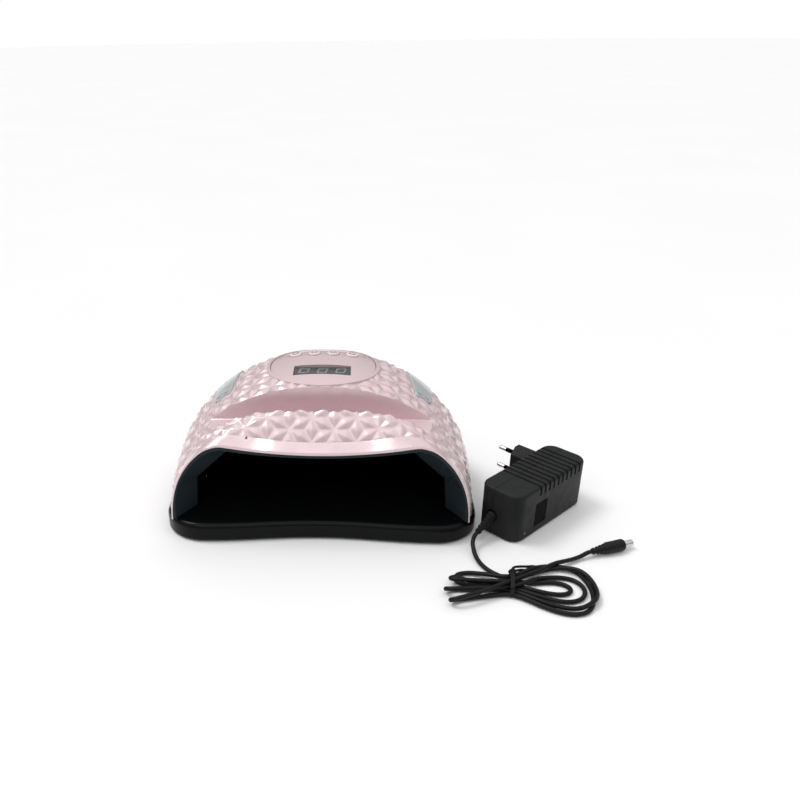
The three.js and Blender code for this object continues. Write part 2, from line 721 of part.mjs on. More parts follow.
const ledGroups = [
  { name: 'top', frame: vaultFace(-VAULT_HALF_CEILING, VAULT_CEILING_Z, VAULT_HALF_CEILING,
    VAULT_CEILING_Z), columns: 3, rows: 4, pitch: [32, 30], board: [92, 112] },
  { name: 'rear', frame: rearFace, columns: 4, rows: 1, pitch: [32, 0], board: [118, 22] },
];
for (const [label, side] of [['left', -1], ['right', 1]]) {
  ledGroups.push({
    name: `shoulder_${label}`,
    frame: vaultFace(side * VAULT_HALF_CEILING, VAULT_CEILING_Z, side * VAULT_HALF_SHOULDER,
      VAULT_SHOULDER_Z),
    columns: 4, rows: 1, pitch: [26, 0], board: [98, 18],
  });
  ledGroups.push({
    name: `side_${label}`,
    frame: vaultFace(side * VAULT_HALF_SHOULDER, VAULT_SHOULDER_Z, side * VAULT_HALF_FLOOR,
      SHELL_BASE),
    columns: 4, rows: 1, pitch: [26, 0], board: [98, 14],
  });
}

// Each board carries a grid of lamp beads that look through holes in the vault.
let vault = vaultOuter.subtract(vaultInner);
for (const { name, frame, columns, rows, pitch, board } of ledGroups) {
  let lamps = solid(blockGeometry(
    [-board[0] / 2, -board[1] / 2, 0.7], [board[0] / 2, board[1] / 2, 0.7 + BOARD_THICKNESS]));
  for (let column = 0; column < columns; column++) {
    for (let row = 0; row < rows; row++) {
      const x = (column - (columns - 1) / 2) * pitch[0];
      const y = (row - (rows - 1) / 2) * pitch[1];
      const hole = rodGeometry(LED_RADIUS + 0.5, -6, 6, 6).translate(x, y, 0);
      vault = vault.subtract(solid(hole.applyMatrix4(frame)));
      const bead = turnedGeometry([
        [0, -3.4], [1.8, -3.1], [LED_RADIUS, -1.6], [LED_RADIUS, 1], [0, 1],
      ], 6);
      lamps = lamps.add(solid(bead.translate(x, y, 0)));
    }
  }
  addNode(`led_board_${name}`, lamps.transform(frame.elements), 'boardWhite');
}

// Two infrared eyes on a small board notice a hand, in the rear wall below the lamps.
const sensorBack = VAULT_REAR_Y + 1;
const eyeRadius = SENSOR_EYES.radius;
let sensor = block([-17, sensorBack, SENSOR_EYES.z - 4], [17, sensorBack + 1.6, SENSOR_EYES.z + 4]);
for (const x of [-SENSOR_EYES.x, SENSOR_EYES.x]) {
  const hole = rodGeometry(eyeRadius + GAP, -6, 6, 10).rotateX(-Math.PI / 2);
  vault = vault.subtract(solid(hole.translate(x, VAULT_REAR_Y, SENSOR_EYES.z)));
  const eye = turnedGeometry([
    [0, -3], [1.6, -2.7], [eyeRadius, -1.5], [eyeRadius, 1.4], [0, 1.4],
  ], 10);
  sensor = sensor.add(solid(eye.rotateX(-Math.PI / 2).translate(x, VAULT_REAR_Y, SENSOR_EYES.z)));
}
addNode('hand_sensor', sensor, 'smokedGlass');
addNode('inner_vault', vault, 'blackSatin');

// ---------------------------------------------------------------- front bezel and bottom frame

const RIM_CENTRE_Z = 30;

// The point where a ray from the middle of the opening meets the dome, some way in from its skin.
function mouthRim(angle, depth, inset) {
  const direction = new THREE.Vector2(Math.cos(angle), Math.sin(angle));
  let [inside, outside] = [0, 2 * SHELL_HALF_WIDTH];
  for (let round = 0; round < 30; round++) {
    const middle = (inside + outside) / 2;
    const z = RIM_CENTRE_Z + middle * direction.y;
    const y = MOUTH_Y + depth + MOUTH_LEAN * (z - SHELL_BASE);
    const x = Math.abs(middle * direction.x);
    const within = x < domeHalfWidth(y) - inset && z < domeHeight(x, y) - inset * 1.25;
    if (within) inside = middle;
    else outside = middle;
  }
  const z = RIM_CENTRE_Z + inside * direction.y;
  const y = MOUTH_Y + depth + MOUTH_LEAN * (z - SHELL_BASE);
  return new THREE.Vector3(inside * direction.x, y, z);
}

// The same ray against the vault's own outline.
function vaultRim(angle) {
  const y = VAULT_FRONT_Y + 0.5;
  const outline = vaultOutline(y, -0.6, -20);
  const direction = new THREE.Vector3(Math.cos(angle), 0, Math.sin(angle));
  let best = 0;
  for (let i = 0; i < outline.length; i++) {
    const a = outline[i];
    const b = outline[(i + 1) % outline.length];
    const [ex, ez] = [b.x - a.x, b.z - a.z];
    const cross = direction.x * ez - direction.z * ex;
    if (Math.abs(cross) < 1e-9) continue;
    const along = (a.x * ez - (a.z - RIM_CENTRE_Z) * ex) / cross;
    const share = (a.x * direction.z - (a.z - RIM_CENTRE_Z) * direction.x) / cross;
    if (along > 0 && share >= 0 && share <= 1) best = Math.max(best, along);
  }
  return new THREE.Vector3(best * direction.x, y, RIM_CENTRE_Z + best * direction.z);
}

function makeBezel() {
  const rays = 34;
  const front = [];
  const rear = [];
  for (let ray = 0; ray <= rays; ray++) {
    const angle = THREE.MathUtils.degToRad(-12 + (204 * ray) / rays);
    front.push(mouthRim(angle, -1, BEZEL_RIM));
    rear.push(vaultRim(angle));
  }
  for (const outline of [front, rear]) {
    for (const end of [0, rays]) outline[end].z = -20;
  }
  const funnel = loft(front, rear);
  const mouthEnd = block([-FAR, -FAR, SHELL_BASE + GAP], [FAR, VAULT_FRONT_Y - GAP, FAR]);
  const rim = smoothDome(LIP_OFFSET - GAP).intersect(bandPrism(-1.2 - GAP));
  return smoothDome(-WALL - GAP - 0.5, HOLLOW_PITCH)
    .add(rim)
    .intersect(behindMouth(1, BEZEL_DEPTH + 20))
    .intersect(mouthEnd)
    .subtract(funnel)
    .subtract(slotPrism(WALL + GAP));
}
addNode('front_bezel', makeBezel(), 'blackGloss');

const frameBottom = SHELL_BASE + GAP;
const frameTop = frameBottom + 3;
const vaultClearance = loft(
  vaultOutline(VAULT_FRONT_Y - 40, VAULT_WALL + 3.4, -20),
  vaultOutline(VAULT_REAR_Y + 5, VAULT_WALL + 3.4, -20));
const bottomFrame = smoothDome(-WALL - GAP - 0.5, HOLLOW_PITCH)
  .intersect(block([-FAR, VAULT_FRONT_Y, frameBottom], [FAR, FAR, frameTop]))
  .subtract(vaultClearance);
addNode('bottom_frame', bottomFrame, 'blackSatin');

const magnetPlaces = [[-119, -30], [119, -30], [-96, 60], [96, 60]];
function addDiscs(name, radius, bottom, top, material) {
  magnetPlaces.forEach(([x, y], place) => {
    addNode(`${name}_${place + 1}`, rodGeometry(radius, bottom, top, 16).translate(x, y, 0), material);
  });
}
addDiscs('keeper_disc', 4.5, frameTop + GAP, frameTop + GAP + 2, 'steel');

// ---------------------------------------------------------------- rear jack and wiring

const jackBody = block([-7, -19, -6], [7, -7, 6])
  .add(solid(rodGeometry(JACK_RADIUS, -8, 0.8, 16).rotateX(-Math.PI / 2)))
  .subtract(solid(rodGeometry(JACK_BORE, -12, 4, 12).rotateX(-Math.PI / 2)))
  .add(solid(rodGeometry(1, -12.5, -0.5, 6).rotateX(-Math.PI / 2)));
addNode('dc_jack', jackBody.translate([JACK_X, JACK_FACE_Y, JACK_Z]), 'blackSatin');

addNode('wiring_harness', tubeGeometry([
  [JACK_X, 73.5, JACK_Z + 2], [JACK_X, 72, 52], [42, 72, 70], [38, 66, 86], [34, 57, 98],
  [30, 47, 101.2],
], 2, 6, 14), 'cordBlack');

// ---------------------------------------------------------------- base tray

function trayOutline(inset) {
  const shape = new THREE.Shape();
  const width = TRAY_HALF_WIDTH - inset;
  const corner = TRAY_CORNER - inset;
  const front = TRAY_FRONT_Y + inset;
  const cornerX = TRAY_HALF_WIDTH - TRAY_CORNER;
  const cornerY = TRAY_FRONT_Y + TRAY_CORNER;
  const hollow = front + TRAY_FRONT_HOLLOW;
  shape.moveTo(width, TRAY_MIDDLE_Y);
  shape.absellipse(0, TRAY_MIDDLE_Y, width, TRAY_REAR_Y - inset - TRAY_MIDDLE_Y, 0, Math.PI);
  shape.lineTo(-width, cornerY);
  shape.absarc(-cornerX, cornerY, corner, Math.PI, Math.PI * 1.5);
  shape.bezierCurveTo(-cornerX * 0.62, front, -cornerX * 0.4, hollow, 0, hollow);
  shape.bezierCurveTo(cornerX * 0.4, hollow, cornerX * 0.62, front, cornerX, front);
  shape.absarc(cornerX, cornerY, corner, Math.PI * 1.5, Math.PI * 2);
  shape.closePath();
  return shape;
}

function makeTray() {
  const round = TRAY_EDGE_ROUND;
  const body = new THREE.ExtrudeGeometry(trayOutline(round), {
    depth: TRAY_TOP - TRAY_BOTTOM, bevelEnabled: true, bevelThickness: round, bevelSize: round,
    bevelSegments: 3, curveSegments: 9,
  }).translate(0, 0, TRAY_BOTTOM - round);
  const tray = solid(body).intersect(block([-FAR, -FAR, TRAY_BOTTOM], [FAR, FAR, TRAY_TOP]));
  return tray.subtract(solid(extruded(trayOutline(TRAY_WALL + 2), -10, TRAY_TOP - TRAY_WALL, 6)));
}
addNode('base_tray', makeTray(), 'blackGloss');
addNode('base_cover', extruded(trayOutline(TRAY_WALL + 2 + GAP), TRAY_BOTTOM,
  TRAY_BOTTOM + COVER_THICKNESS, 6), 'blackMatte');
const magnetTop = TRAY_TOP - TRAY_WALL - GAP;
addDiscs('tray_magnet', 5, magnetTop - 3, magnetTop, 'nickel');

const footPlaces = {
  front_left: [-98, -62], front_right: [98, -62], rear_left: [-86, 62], rear_right: [86, 62],
};
for (const [name, [x, y]] of Object.entries(footPlaces)) {
  const foot = turnedGeometry([
    [0, 0], [FOOT_RADIUS - 0.6, 0], [FOOT_RADIUS, 0.6], [FOOT_RADIUS, TRAY_BOTTOM - GAP],
    [0, TRAY_BOTTOM - GAP],
  ]);
  addNode(`foot_${name}`, foot.translate(x, y, 0), 'rubber');
}

// ---------------------------------------------------------------- power adapter

function adapterBody(inset) {
  const edge = ADAPTER_EDGE;
  const geometry = new THREE.ExtrudeGeometry(roundedRectangle(
    ADAPTER_LENGTH - 2 * (inset + edge), ADAPTER_DEPTH - 2 * (inset + edge),
    ADAPTER_CORNER - edge), {
    depth: ADAPTER_HEIGHT - 2 * (inset + edge), bevelEnabled: true, bevelThickness: edge,
    bevelSize: edge, bevelSegments: 2, curveSegments: 4,
  });
  return solid(geometry.translate(0, 0, inset + edge));
}

function makeAdapterCase() {
  let body = adapterBody(0);
  const core = adapterBody(GROOVE_DEPTH);
  for (let place = 0; place < GROOVES.count; place++) {
    const x = GROOVES.first + place * GROOVES.pitch;
    const groove = block([x, -FAR, ADAPTER_HEIGHT - GROOVES.reach], [x + GROOVES.width, FAR, FAR]);
    body = body.subtract(groove.subtract(core));
  }
  const label = block([LABEL.left, -FAR, LABEL.bottom], [LABEL.right, 0, LABEL.top]).subtract(core);
  const lampHole = rod(INDICATOR.radius + GAP, -FAR, 0, 10).rotate([-90, 0, 0])
    .translate([INDICATOR.x, -ADAPTER_DEPTH / 2 + ADAPTER_WALL + GAP, INDICATOR.z]);
  const cordHole = rod(CORD_EXIT.radius, -FAR, -ADAPTER_LENGTH / 2 + ADAPTER_CORNER, 16)
    .rotate([0, 90, 0]).translate([0, CORD_EXIT.y, CORD_EXIT.z]);
  return body.subtract(label).subtract(adapterBody(ADAPTER_WALL)).subtract(lampHole)
    .subtract(cordHole);
}

const adapterCase = makeAdapterCase();
const frontHalf = block([-FAR, -FAR, -10], [FAR, ADAPTER_SPLIT_Y - GAP / 2, FAR]);
const rearHalf = block([-FAR, ADAPTER_SPLIT_Y + GAP / 2, -10], [FAR, FAR, FAR]);
addNode('adapter_case_front', adapterCase.intersect(frontHalf), 'blackMatte', adapterGroup);
addNode('adapter_case_rear', adapterCase.intersect(rearHalf), 'blackMatte', adapterGroup);
const frontSkinY = -ADAPTER_DEPTH / 2;
addNode('adapter_label_plate', blockGeometry(
  [LABEL.left + LABEL.gap, frontSkinY + 0.1, LABEL.bottom + LABEL.gap],
  [LABEL.right - LABEL.gap, frontSkinY + GROOVE_DEPTH - GAP, LABEL.top - LABEL.gap]),
'blackSatin', adapterGroup);
const lens = turnedGeometry([[0, 0], [INDICATOR.radius, 0], [INDICATOR.radius, 2.2], [0, 2.4]], 10);
addNode('adapter_indicator', lens.rotateX(Math.PI / 2)
  .translate(INDICATOR.x, frontSkinY + 2.2, INDICATOR.z), 'indicatorGreen', adapterGroup);

const midHeight = ADAPTER_HEIGHT / 2;
const neckStart = ADAPTER_DEPTH / 2 + GAP;
const neckEnd = neckStart + NECK_DEPTH;
function neckShape() {
  const [half, high] = NECK_HALF;
  const corners = [];
  for (const [x, y] of [[-1, -1], [1, -1], [1, 1], [-1, 1]]) {
    const alongX = new THREE.Vector2(x * (half - NECK_CHAMFER), y * high);
    const alongZ = new THREE.Vector2(x * half, y * (high - NECK_CHAMFER));
    corners.push(...(x * y > 0 ? [alongZ, alongX] : [alongX, alongZ]));
  }
  return new THREE.Shape(corners);
}
const alongY = new THREE.Matrix4().makeBasis(
  new THREE.Vector3(-1, 0, 0), new THREE.Vector3(0, 0, 1), new THREE.Vector3(0, 1, 0));
const neck = extruded(neckShape(), neckStart, neckEnd).applyMatrix4(alongY)
  .translate(NECK_X, 0, midHeight);
addNode('adapter_plug_neck', neck, 'blackMatte', adapterGroup);

[-1, 1].forEach((side, place) => {
  const z = midHeight + (side * PIN_SPACING) / 2;
  const sleeveStart = neckEnd + GAP;
  const pinStart = sleeveStart + PIN_SLEEVE + GAP;
  const sleeve = rodGeometry(PIN_RADIUS, sleeveStart, sleeveStart + PIN_SLEEVE, 12);
  const pin = turnedGeometry([
    [0, pinStart], [PIN_RADIUS, pinStart],
    [PIN_RADIUS, neckEnd + PIN_LENGTH - 1.4], [1.1, neckEnd + PIN_LENGTH],
    [0, neckEnd + PIN_LENGTH],
  ], 12);
  for (const [name, geometry, material] of [
    ['pin_sleeve', sleeve, 'blackSatin'], ['pin', pin, 'nickel']]) {
    geometry.rotateX(-Math.PI / 2).translate(NECK_X, 0, z);
    addNode(`${name}_${place + 1}`, geometry, material, adapterGroup);
  }
});

// The adapter's board stands along its length, with the tall components in front of it.
const boardY = 10;
const componentFront = -12;
const componentBack = boardY - 0.4;
addNode('adapter_pcb', blockGeometry(
  [-44, boardY, ADAPTER_WALL + 3.2], [26, boardY + BOARD_THICKNESS, ADAPTER_HEIGHT - 6]),
'boardGreen', adapterGroup);
addNode('adapter_transformer', blockGeometry([-12, componentFront, 12], [14, componentBack, 34]),
  'copper', adapterGroup);
addNode('adapter_capacitor', rodGeometry(7, componentFront, componentBack, 16)
  .rotateX(-Math.PI / 2).translate(-31, 0, 24), 'blackSatin', adapterGroup);

// ---------------------------------------------------------------- low-voltage lead

adapterGroup.updateMatrixWorld(true);
const reliefRoot = adapterGroup.localToWorld(
  new THREE.Vector3(-ADAPTER_LENGTH / 2 + 1, CORD_EXIT.y, CORD_EXIT.z));
const reliefAxis = new THREE.Vector3(-21, -1, -7.5).applyAxisAngle(
  new THREE.Vector3(0, 0, 1), ADAPTER_TURN).normalize();

// A flexible sleeve with a few ring grooves that narrows towards the cord.
function ribbedSleeve(length, startRadius, endRadius, rings) {
  const profile = [[0, 0], [startRadius, 0]];
  const pitch = length / (rings + 1);
  for (let ring = 1; ring <= rings; ring++) {
    const radius = THREE.MathUtils.lerp(startRadius, endRadius, ring / (rings + 1));
    const at = ring * pitch;
    profile.push([radius, at - 0.9], [radius - 0.8, at - 0.6]);
    profile.push([radius - 0.8, at + 0.6], [radius, at + 0.9]);
  }
  profile.push([endRadius, length], [0, length]);
  return profile;
}

addNode('cord_relief', turnedGeometry(ribbedSleeve(RELIEF_LENGTH, 4.4, 2.5, 4), 12)
  .applyMatrix4(facing(reliefRoot, reliefAxis)), 'rubber');

const leadStart = reliefRoot.clone().addScaledVector(reliefAxis, RELIEF_LENGTH + GAP);
const floorZ = CORD_RADIUS + 0.1;
addNode('cord_lead', tubeGeometry([
  leadStart.toArray(), leadStart.clone().addScaledVector(reliefAxis, 4).toArray(),
  [126.4, -98, 4.2], [126.6, -108, 2], [129.4, -118, floorZ], [134, -125.2, floorZ],
], CORD_RADIUS, CORD_SIDES, 14), 'cordBlack');

// The folded part of the lead: two lobes and the waist that the tie pulls in.
const hankShape = new THREE.Shape();
hankShape.moveTo(90.5, -150);
hankShape.bezierCurveTo(90.5, -128, 104, -120, 122, -122.5);
hankShape.bezierCurveTo(136, -125, 142, -139, 150, -139);
hankShape.bezierCurveTo(160, -139, 174, -124, 190, -124);
hankShape.bezierCurveTo(209, -124, 218.5, -138, 218.5, -154);
hankShape.bezierCurveTo(218.5, -173, 205, -186, 186, -184);
hankShape.bezierCurveTo(172, -182, 160, -160, 150, -160);
hankShape.bezierCurveTo(141, -160, 122, -176, 106, -176);
hankShape.bezierCurveTo(96, -176, 90.5, -164, 90.5, -150);
addNode('cord_hank', extruded(hankShape, HANK_BOTTOM, HANK_TOP, 6), 'cordBlack');

// A flat band round the waist, with its twisted ends pointing towards the lamp.
const [tieLeft, tieRight] = [TIE_X - TIE_HALF_WIDTH, TIE_X + TIE_HALF_WIDTH];
const tieOuter = block([tieLeft, -162.1, 0], [tieRight, -137.4, HANK_TOP + 1.4]);
const tieInner = block([tieLeft - 8, -161.1, HANK_BOTTOM - GAP],
  [tieRight + 8, -138.4, HANK_TOP + 0.4]);
const tieEnds = block([tieLeft + 0.6, -137.8, 3], [tieRight - 0.6, -126, 4.4]);
addNode('cord_tie', tieOuter.subtract(tieInner).add(tieEnds), 'cordBlack');

const plugDirection = new THREE.Vector3(Math.cos(PLUG_ANGLE), Math.sin(PLUG_ANGLE), 0);
const plugPoint = (distance, z = PLUG_RADIUS + 0.1) => new THREE.Vector3(...PLUG_START, z)
  .addScaledVector(plugDirection, distance);
addNode('cord_tail', tubeGeometry([
  [190.5, -121.2, 3.4], [197, -118.2, 3.2], [205, -114.2, 3.6], [213, -109.9, 4.6],
  plugPoint(-GAP).toArray(),
], CORD_RADIUS, CORD_SIDES, 8), 'cordBlack');

const plugSleeve = ribbedSleeve(PLUG_SLEEVE, 4.4, 2.3, 3).reverse()
  .map(([radius, at]) => [radius, PLUG_SLEEVE - at]);
addNode('dc_plug_body', turnedGeometry([
  ...plugSleeve.slice(0, -1), [PLUG_RADIUS, PLUG_SLEEVE + 1.5], [PLUG_RADIUS, PLUG_LENGTH - 1.5],
  [PLUG_RADIUS - 1.2, PLUG_LENGTH], [0, PLUG_LENGTH],
], 16).applyMatrix4(facing(plugPoint(0), plugDirection)), 'cordBlack');
const barrelFrame = facing(plugPoint(PLUG_LENGTH + GAP), plugDirection).elements;
const barrelBack = 1.2;
addNode('dc_plug_barrel', rod(BARREL_RADIUS, 0, BARREL_LENGTH, 16)
  .subtract(rod(BARREL_BORE, barrelBack, BARREL_LENGTH + 1, 12))
  .transform(barrelFrame), 'nickel');
addNode('dc_plug_insulator', rod(BARREL_BORE - GAP, barrelBack + GAP, BARREL_LENGTH - 0.4, 12)
  .subtract(rod(0.8, barrelBack + 1.2, BARREL_LENGTH + 1, 8))
  .transform(barrelFrame), 'blackSatin');

// The origin lies under the middle of the lamp, halfway between the tray's front and rear edges.
lamp.position.y = -(TRAY_FRONT_Y + TRAY_REAR_Y) / 2;
export default lamp;
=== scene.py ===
import json
import math

import bmesh
import bpy
import numpy as np
from mathutils import Matrix, Vector


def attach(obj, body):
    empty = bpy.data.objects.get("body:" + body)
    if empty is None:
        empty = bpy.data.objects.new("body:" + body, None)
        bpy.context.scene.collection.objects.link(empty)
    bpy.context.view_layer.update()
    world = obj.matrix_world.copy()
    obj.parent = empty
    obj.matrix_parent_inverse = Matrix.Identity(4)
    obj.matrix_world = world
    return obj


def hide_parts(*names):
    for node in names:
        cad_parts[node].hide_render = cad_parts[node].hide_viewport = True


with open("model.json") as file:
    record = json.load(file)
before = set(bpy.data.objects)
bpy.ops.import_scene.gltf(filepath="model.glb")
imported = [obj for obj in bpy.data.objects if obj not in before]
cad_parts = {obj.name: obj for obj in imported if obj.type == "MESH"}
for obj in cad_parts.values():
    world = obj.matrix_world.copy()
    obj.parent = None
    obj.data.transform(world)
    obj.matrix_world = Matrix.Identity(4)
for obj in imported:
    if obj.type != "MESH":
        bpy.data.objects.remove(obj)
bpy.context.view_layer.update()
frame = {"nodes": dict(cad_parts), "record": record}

# Lengths in this script are millimetres in the lamp's own drawing frame; place() turns them into
# metres in the row frame, whose origin lies 4.5 mm behind the drawing's.
MM = 0.001
ORIGIN_Y = 4.5
FAR = 400.0
GAP = 0.3


def place(points):
    """Millimetres in the drawing frame to metres in the row frame."""
    return (np.asarray(points, float) - (0.0, ORIGIN_Y, 0.0)) * MM


# ------------------------------------------------------------------------------ stage

CAMERA_AZIMUTH = math.radians(2.73)
CAMERA_ELEVATION = math.radians(28.0)
CAMERA_ROLL = math.radians(-0.85)
CAMERA_DISTANCE = 0.740
CAMERA_TARGET = Vector((0, -0.0045, 0.0444))


def make_camera():
    back = Vector((
        math.sin(CAMERA_AZIMUTH) * math.cos(CAMERA_ELEVATION),
        -math.cos(CAMERA_AZIMUTH) * math.cos(CAMERA_ELEVATION),
        math.sin(CAMERA_ELEVATION)))
    level = (-back).cross(Vector((0, 0, 1))).normalized()
    upright = back.cross(level)
    right = math.cos(CAMERA_ROLL) * level + math.sin(CAMERA_ROLL) * upright
    up = back.cross(right)
    data = bpy.data.cameras.new("camera")
    data.sensor_width = 36
    data.lens = 36.45
    data.shift_x = 0.096
    data.shift_y = 0.056
    data.clip_start = 0.01
    camera = bpy.data.objects.new("camera", data)
    turn = Matrix((right, up, back)).transposed().to_4x4()
    camera.matrix_world = Matrix.Translation(CAMERA_TARGET + CAMERA_DISTANCE * back) @ turn
    bpy.context.scene.collection.objects.link(camera)
    bpy.context.scene.camera = camera


def add_area_light(name, spot, aim, size, power):
    data = bpy.data.lights.new(name, "AREA")
    data.shape = "RECTANGLE"
    data.size, data.size_y = size
    data.energy = power
    light = bpy.data.objects.new(name, data)
    light.location = spot
    light.rotation_euler = (Vector(aim) - Vector(spot)).to_track_quat("-Z", "Y").to_euler()
    bpy.context.scene.collection.objects.link(light)


def make_floor():
    radius, sides = 14.0, 48
    rim = [(radius * math.cos(a), radius * math.sin(a), 0)
           for a in np.linspace(0, 2 * math.pi, sides, endpoint=False)]
    data = bpy.data.meshes.new("floor")
    data.from_pydata(rim, [], [tuple(range(sides))])
    data.materials.append(make_floor_material())
    floor = bpy.data.objects.new("floor", data)
    bpy.context.scene.collection.objects.link(floor)


def make_world():
    """A studio that is bright overhead and dim at eye level, behind a plain white backdrop."""
    world = bpy.data.worlds.new("studio")
    bpy.context.scene.world = world
    world.use_nodes = True
    nodes, links = world.node_tree.nodes, world.node_tree.links
    direction = nodes.new("ShaderNodeTexCoord")
    split = nodes.new("ShaderNodeSeparateXYZ")
    links.new(direction.outputs["Generated"], split.inputs["Vector"])
    height = nodes.new("ShaderNodeMapRange")
    for socket, value in zip(("From Min", "From Max", "To Min", "To Max"), (0.05, 1, 0.16, 1.15)):
        height.inputs[socket].default_value = value
    links.new(split.outputs["Z"], height.inputs["Value"])
    studio = nodes["Background"]
    links.new(height.outputs["Result"], studio.inputs["Strength"])
    backdrop = nodes.new("ShaderNodeBackground")
    for background in (studio, backdrop):
        background.inputs["Color"].default_value = (1, 1, 1, 1)
    seen = nodes.new("ShaderNodeLightPath")
    mix = nodes.new("ShaderNodeMixShader")
    links.new(seen.outputs["Is Camera Ray"], mix.inputs["Fac"])
    links.new(studio.outputs["Background"], mix.inputs[1])
    links.new(backdrop.outputs["Background"], mix.inputs[2])
    links.new(mix.outputs["Shader"], nodes["World Output"].inputs["Surface"])


SUN_STRENGTH = 1.0
SUN_ANGLE = math.radians(22)
SUN_TILT = (math.radians(-8), math.radians(-30), 0)
STRIP_PLACES = {"left_strip": -0.063, "right_strip": -0.020}
STRIP_SIZE = (0.004, 0.15)
STRIP_POWER = 0.07
SOFTBOX_SIZE = (0.35, 0.35)
SOFTBOX_POWER = 0.45


def make_stage():
    make_world()
    sun_data = bpy.data.lights.new("soft_sun", "SUN")
    sun_data.energy = SUN_STRENGTH
    sun_data.angle = SUN_ANGLE
    sun = bpy.data.objects.new("soft_sun", sun_data)
    sun.rotation_euler = SUN_TILT
    bpy.context.scene.collection.objects.link(sun)
    for name, x in STRIP_PLACES.items():
        add_area_light(name, (x, -0.67, 0.76), (0, -0.075, 0.08), STRIP_SIZE, STRIP_POWER)
    add_area_light("front_softbox", (-0.35, -0.75, 0.9), (0, -0.05, 0.05), SOFTBOX_SIZE,
                   SOFTBOX_POWER)
    make_floor()
    bpy.context.scene.view_settings.view_transform = "Standard"


# ------------------------------------------------------------------------------ materials

class Shader:
    """A Principled material with small helpers for procedural detail in object space."""

    def __init__(self, name, color, roughness, **sockets):
        self.material = bpy.data.materials.new(name)
        self.material.use_nodes = True
        self.tree = self.material.node_tree
        self.bsdf = self.tree.nodes["Principled BSDF"]
        self.bsdf.inputs["Base Color"].default_value = (*color, 1)
        self.bsdf.inputs["Roughness"].default_value = roughness
        for socket, value in sockets.items():
            self.bsdf.inputs[socket.replace("_", " ")].default_value = value
        self.place = self.node("ShaderNodeTexCoord").outputs["Object"]
        self.normal = None

    def node(self, kind, **properties):
        node = self.tree.nodes.new(kind)
        for key, value in properties.items():
            setattr(node, key, value)
        return node

    def link(self, source, target):
        self.tree.links.new(source, target)

    def noise(self, scale, detail=2.0, roughness=0.5):
        node = self.node("ShaderNodeTexNoise")
        node.inputs["Scale"].default_value = scale
        node.inputs["Detail"].default_value = detail
        node.inputs["Roughness"].default_value = roughness
        self.link(self.place, node.inputs["Vector"])
        return node.outputs["Fac"]

    def cells(self, scale):
        node = self.node("ShaderNodeTexVoronoi")
        node.inputs["Scale"].default_value = scale
        self.link(self.place, node.inputs["Vector"])
        return node.outputs["Color"]

    def remap(self, source, low, high, out_low, out_high):
        node = self.node("ShaderNodeMapRange")
        self.link(source, node.inputs["Value"])
        for socket, value in zip(("From Min", "From Max", "To Min", "To Max"),
                                 (low, high, out_low, out_high)):
            node.inputs[socket].default_value = value
        return node.outputs["Result"]

    def vary_color(self, source, dark, light, low=0.3, high=0.7):
        ramp = self.node("ShaderNodeValToRGB")
        ramp.color_ramp.elements[0].position = low
        ramp.color_ramp.elements[0].color = (*dark, 1)
        ramp.color_ramp.elements[1].position = high
        ramp.color_ramp.elements[1].color = (*light, 1)
        self.link(source, ramp.inputs["Fac"])
        self.link(ramp.outputs["Color"], self.bsdf.inputs["Base Color"])

    def vary_roughness(self, source, low, high):
        self.link(self.remap(source, 0.25, 0.75, low, high), self.bsdf.inputs["Roughness"])

    def bump(self, source, distance, strength=1.0):
        node = self.node("ShaderNodeBump")
        node.inputs["Distance"].default_value = distance
        node.inputs["Strength"].default_value = strength
        self.link(source, node.inputs["Height"])
        if self.normal is not None:
            self.link(self.normal, node.inputs["Normal"])
        self.normal = node.outputs["Normal"]
        self.link(self.normal, self.bsdf.inputs["Normal"])

    def soft_edges(self, radius):
        node = self.node("ShaderNodeBevel", samples=4)
        node.inputs["Radius"].default_value = radius
        self.normal = node.outputs["Normal"]
        self.link(self.normal, self.bsdf.inputs["Normal"])


def make_floor_material():
    shader = Shader("floor_paper", (0.93, 0.93, 0.93), 0.7, Specular_IOR_Level=0.2)
    shader.vary_color(shader.noise(3), (0.925, 0.925, 0.925), (0.94, 0.94, 0.94))
    return shader.material


def make_pink_pearl():
    shader = Shader("pink_pearl", (0.78, 0.60, 0.63), 0.3, Metallic=0.35, Coat_Weight=0.7,
                    Coat_Roughness=0.035)
    shader.soft_edges(0.0003)
    shader.vary_color(shader.noise(1600, 3), (0.73, 0.56, 0.585), (0.825, 0.65, 0.675), 0.3, 0.7)
    shader.vary_roughness(shader.noise(90, 4), 0.26, 0.36)
    shader.bump(shader.cells(2600), 0.00001, 0.2)
    shader.bump(shader.noise(60, 2), 0.00004, 0.15)
    return shader.material


def make_black(name, roughness, level, color=(0.0045, 0.005, 0.0055), grain=0.00001, edge=0.0005):
    shader = Shader(name, color, roughness, Specular_IOR_Level=level)
    if edge > 0:
        shader.soft_edges(edge)
    shader.vary_color(shader.noise(60, 3), color, tuple(1.5 * part for part in color))
    shader.vary_roughness(shader.noise(160, 5), 0.85 * roughness, 1.15 * roughness)
    shader.bump(shader.noise(1500, 3), grain, 0.4)
    return shader.material


def make_black_gloss():
    """Deep black on the tray; on the lining of the opening above it the black is painted lighter, a
    painted sheen for the light that lining catches.
    """
    # the lining colour is a painted sheen, lighter than the tray's own black
    tray, lining = (0.003, 0.0034, 0.0038), (0.020, 0.027, 0.032)
    shader = Shader("black_gloss", tray, 0.24, Specular_IOR_Level=0.13)
    shader.soft_edges(0.0003)
    split = shader.node("ShaderNodeSeparateXYZ")
    shader.link(shader.place, split.inputs["Vector"])
    # painted sheen: above the tray's top the black turns lighter, on the bezel lining of the opening
    above = shader.remap(split.outputs["Z"], 0.0172, 0.0176, 0, 1)
    shader.vary_color(above, tray, lining, 0, 1)
    shader.vary_roughness(shader.noise(160, 5), 0.2, 0.28)
    shader.bump(shader.noise(1500, 3), 0.00001, 0.4)
    return shader.material


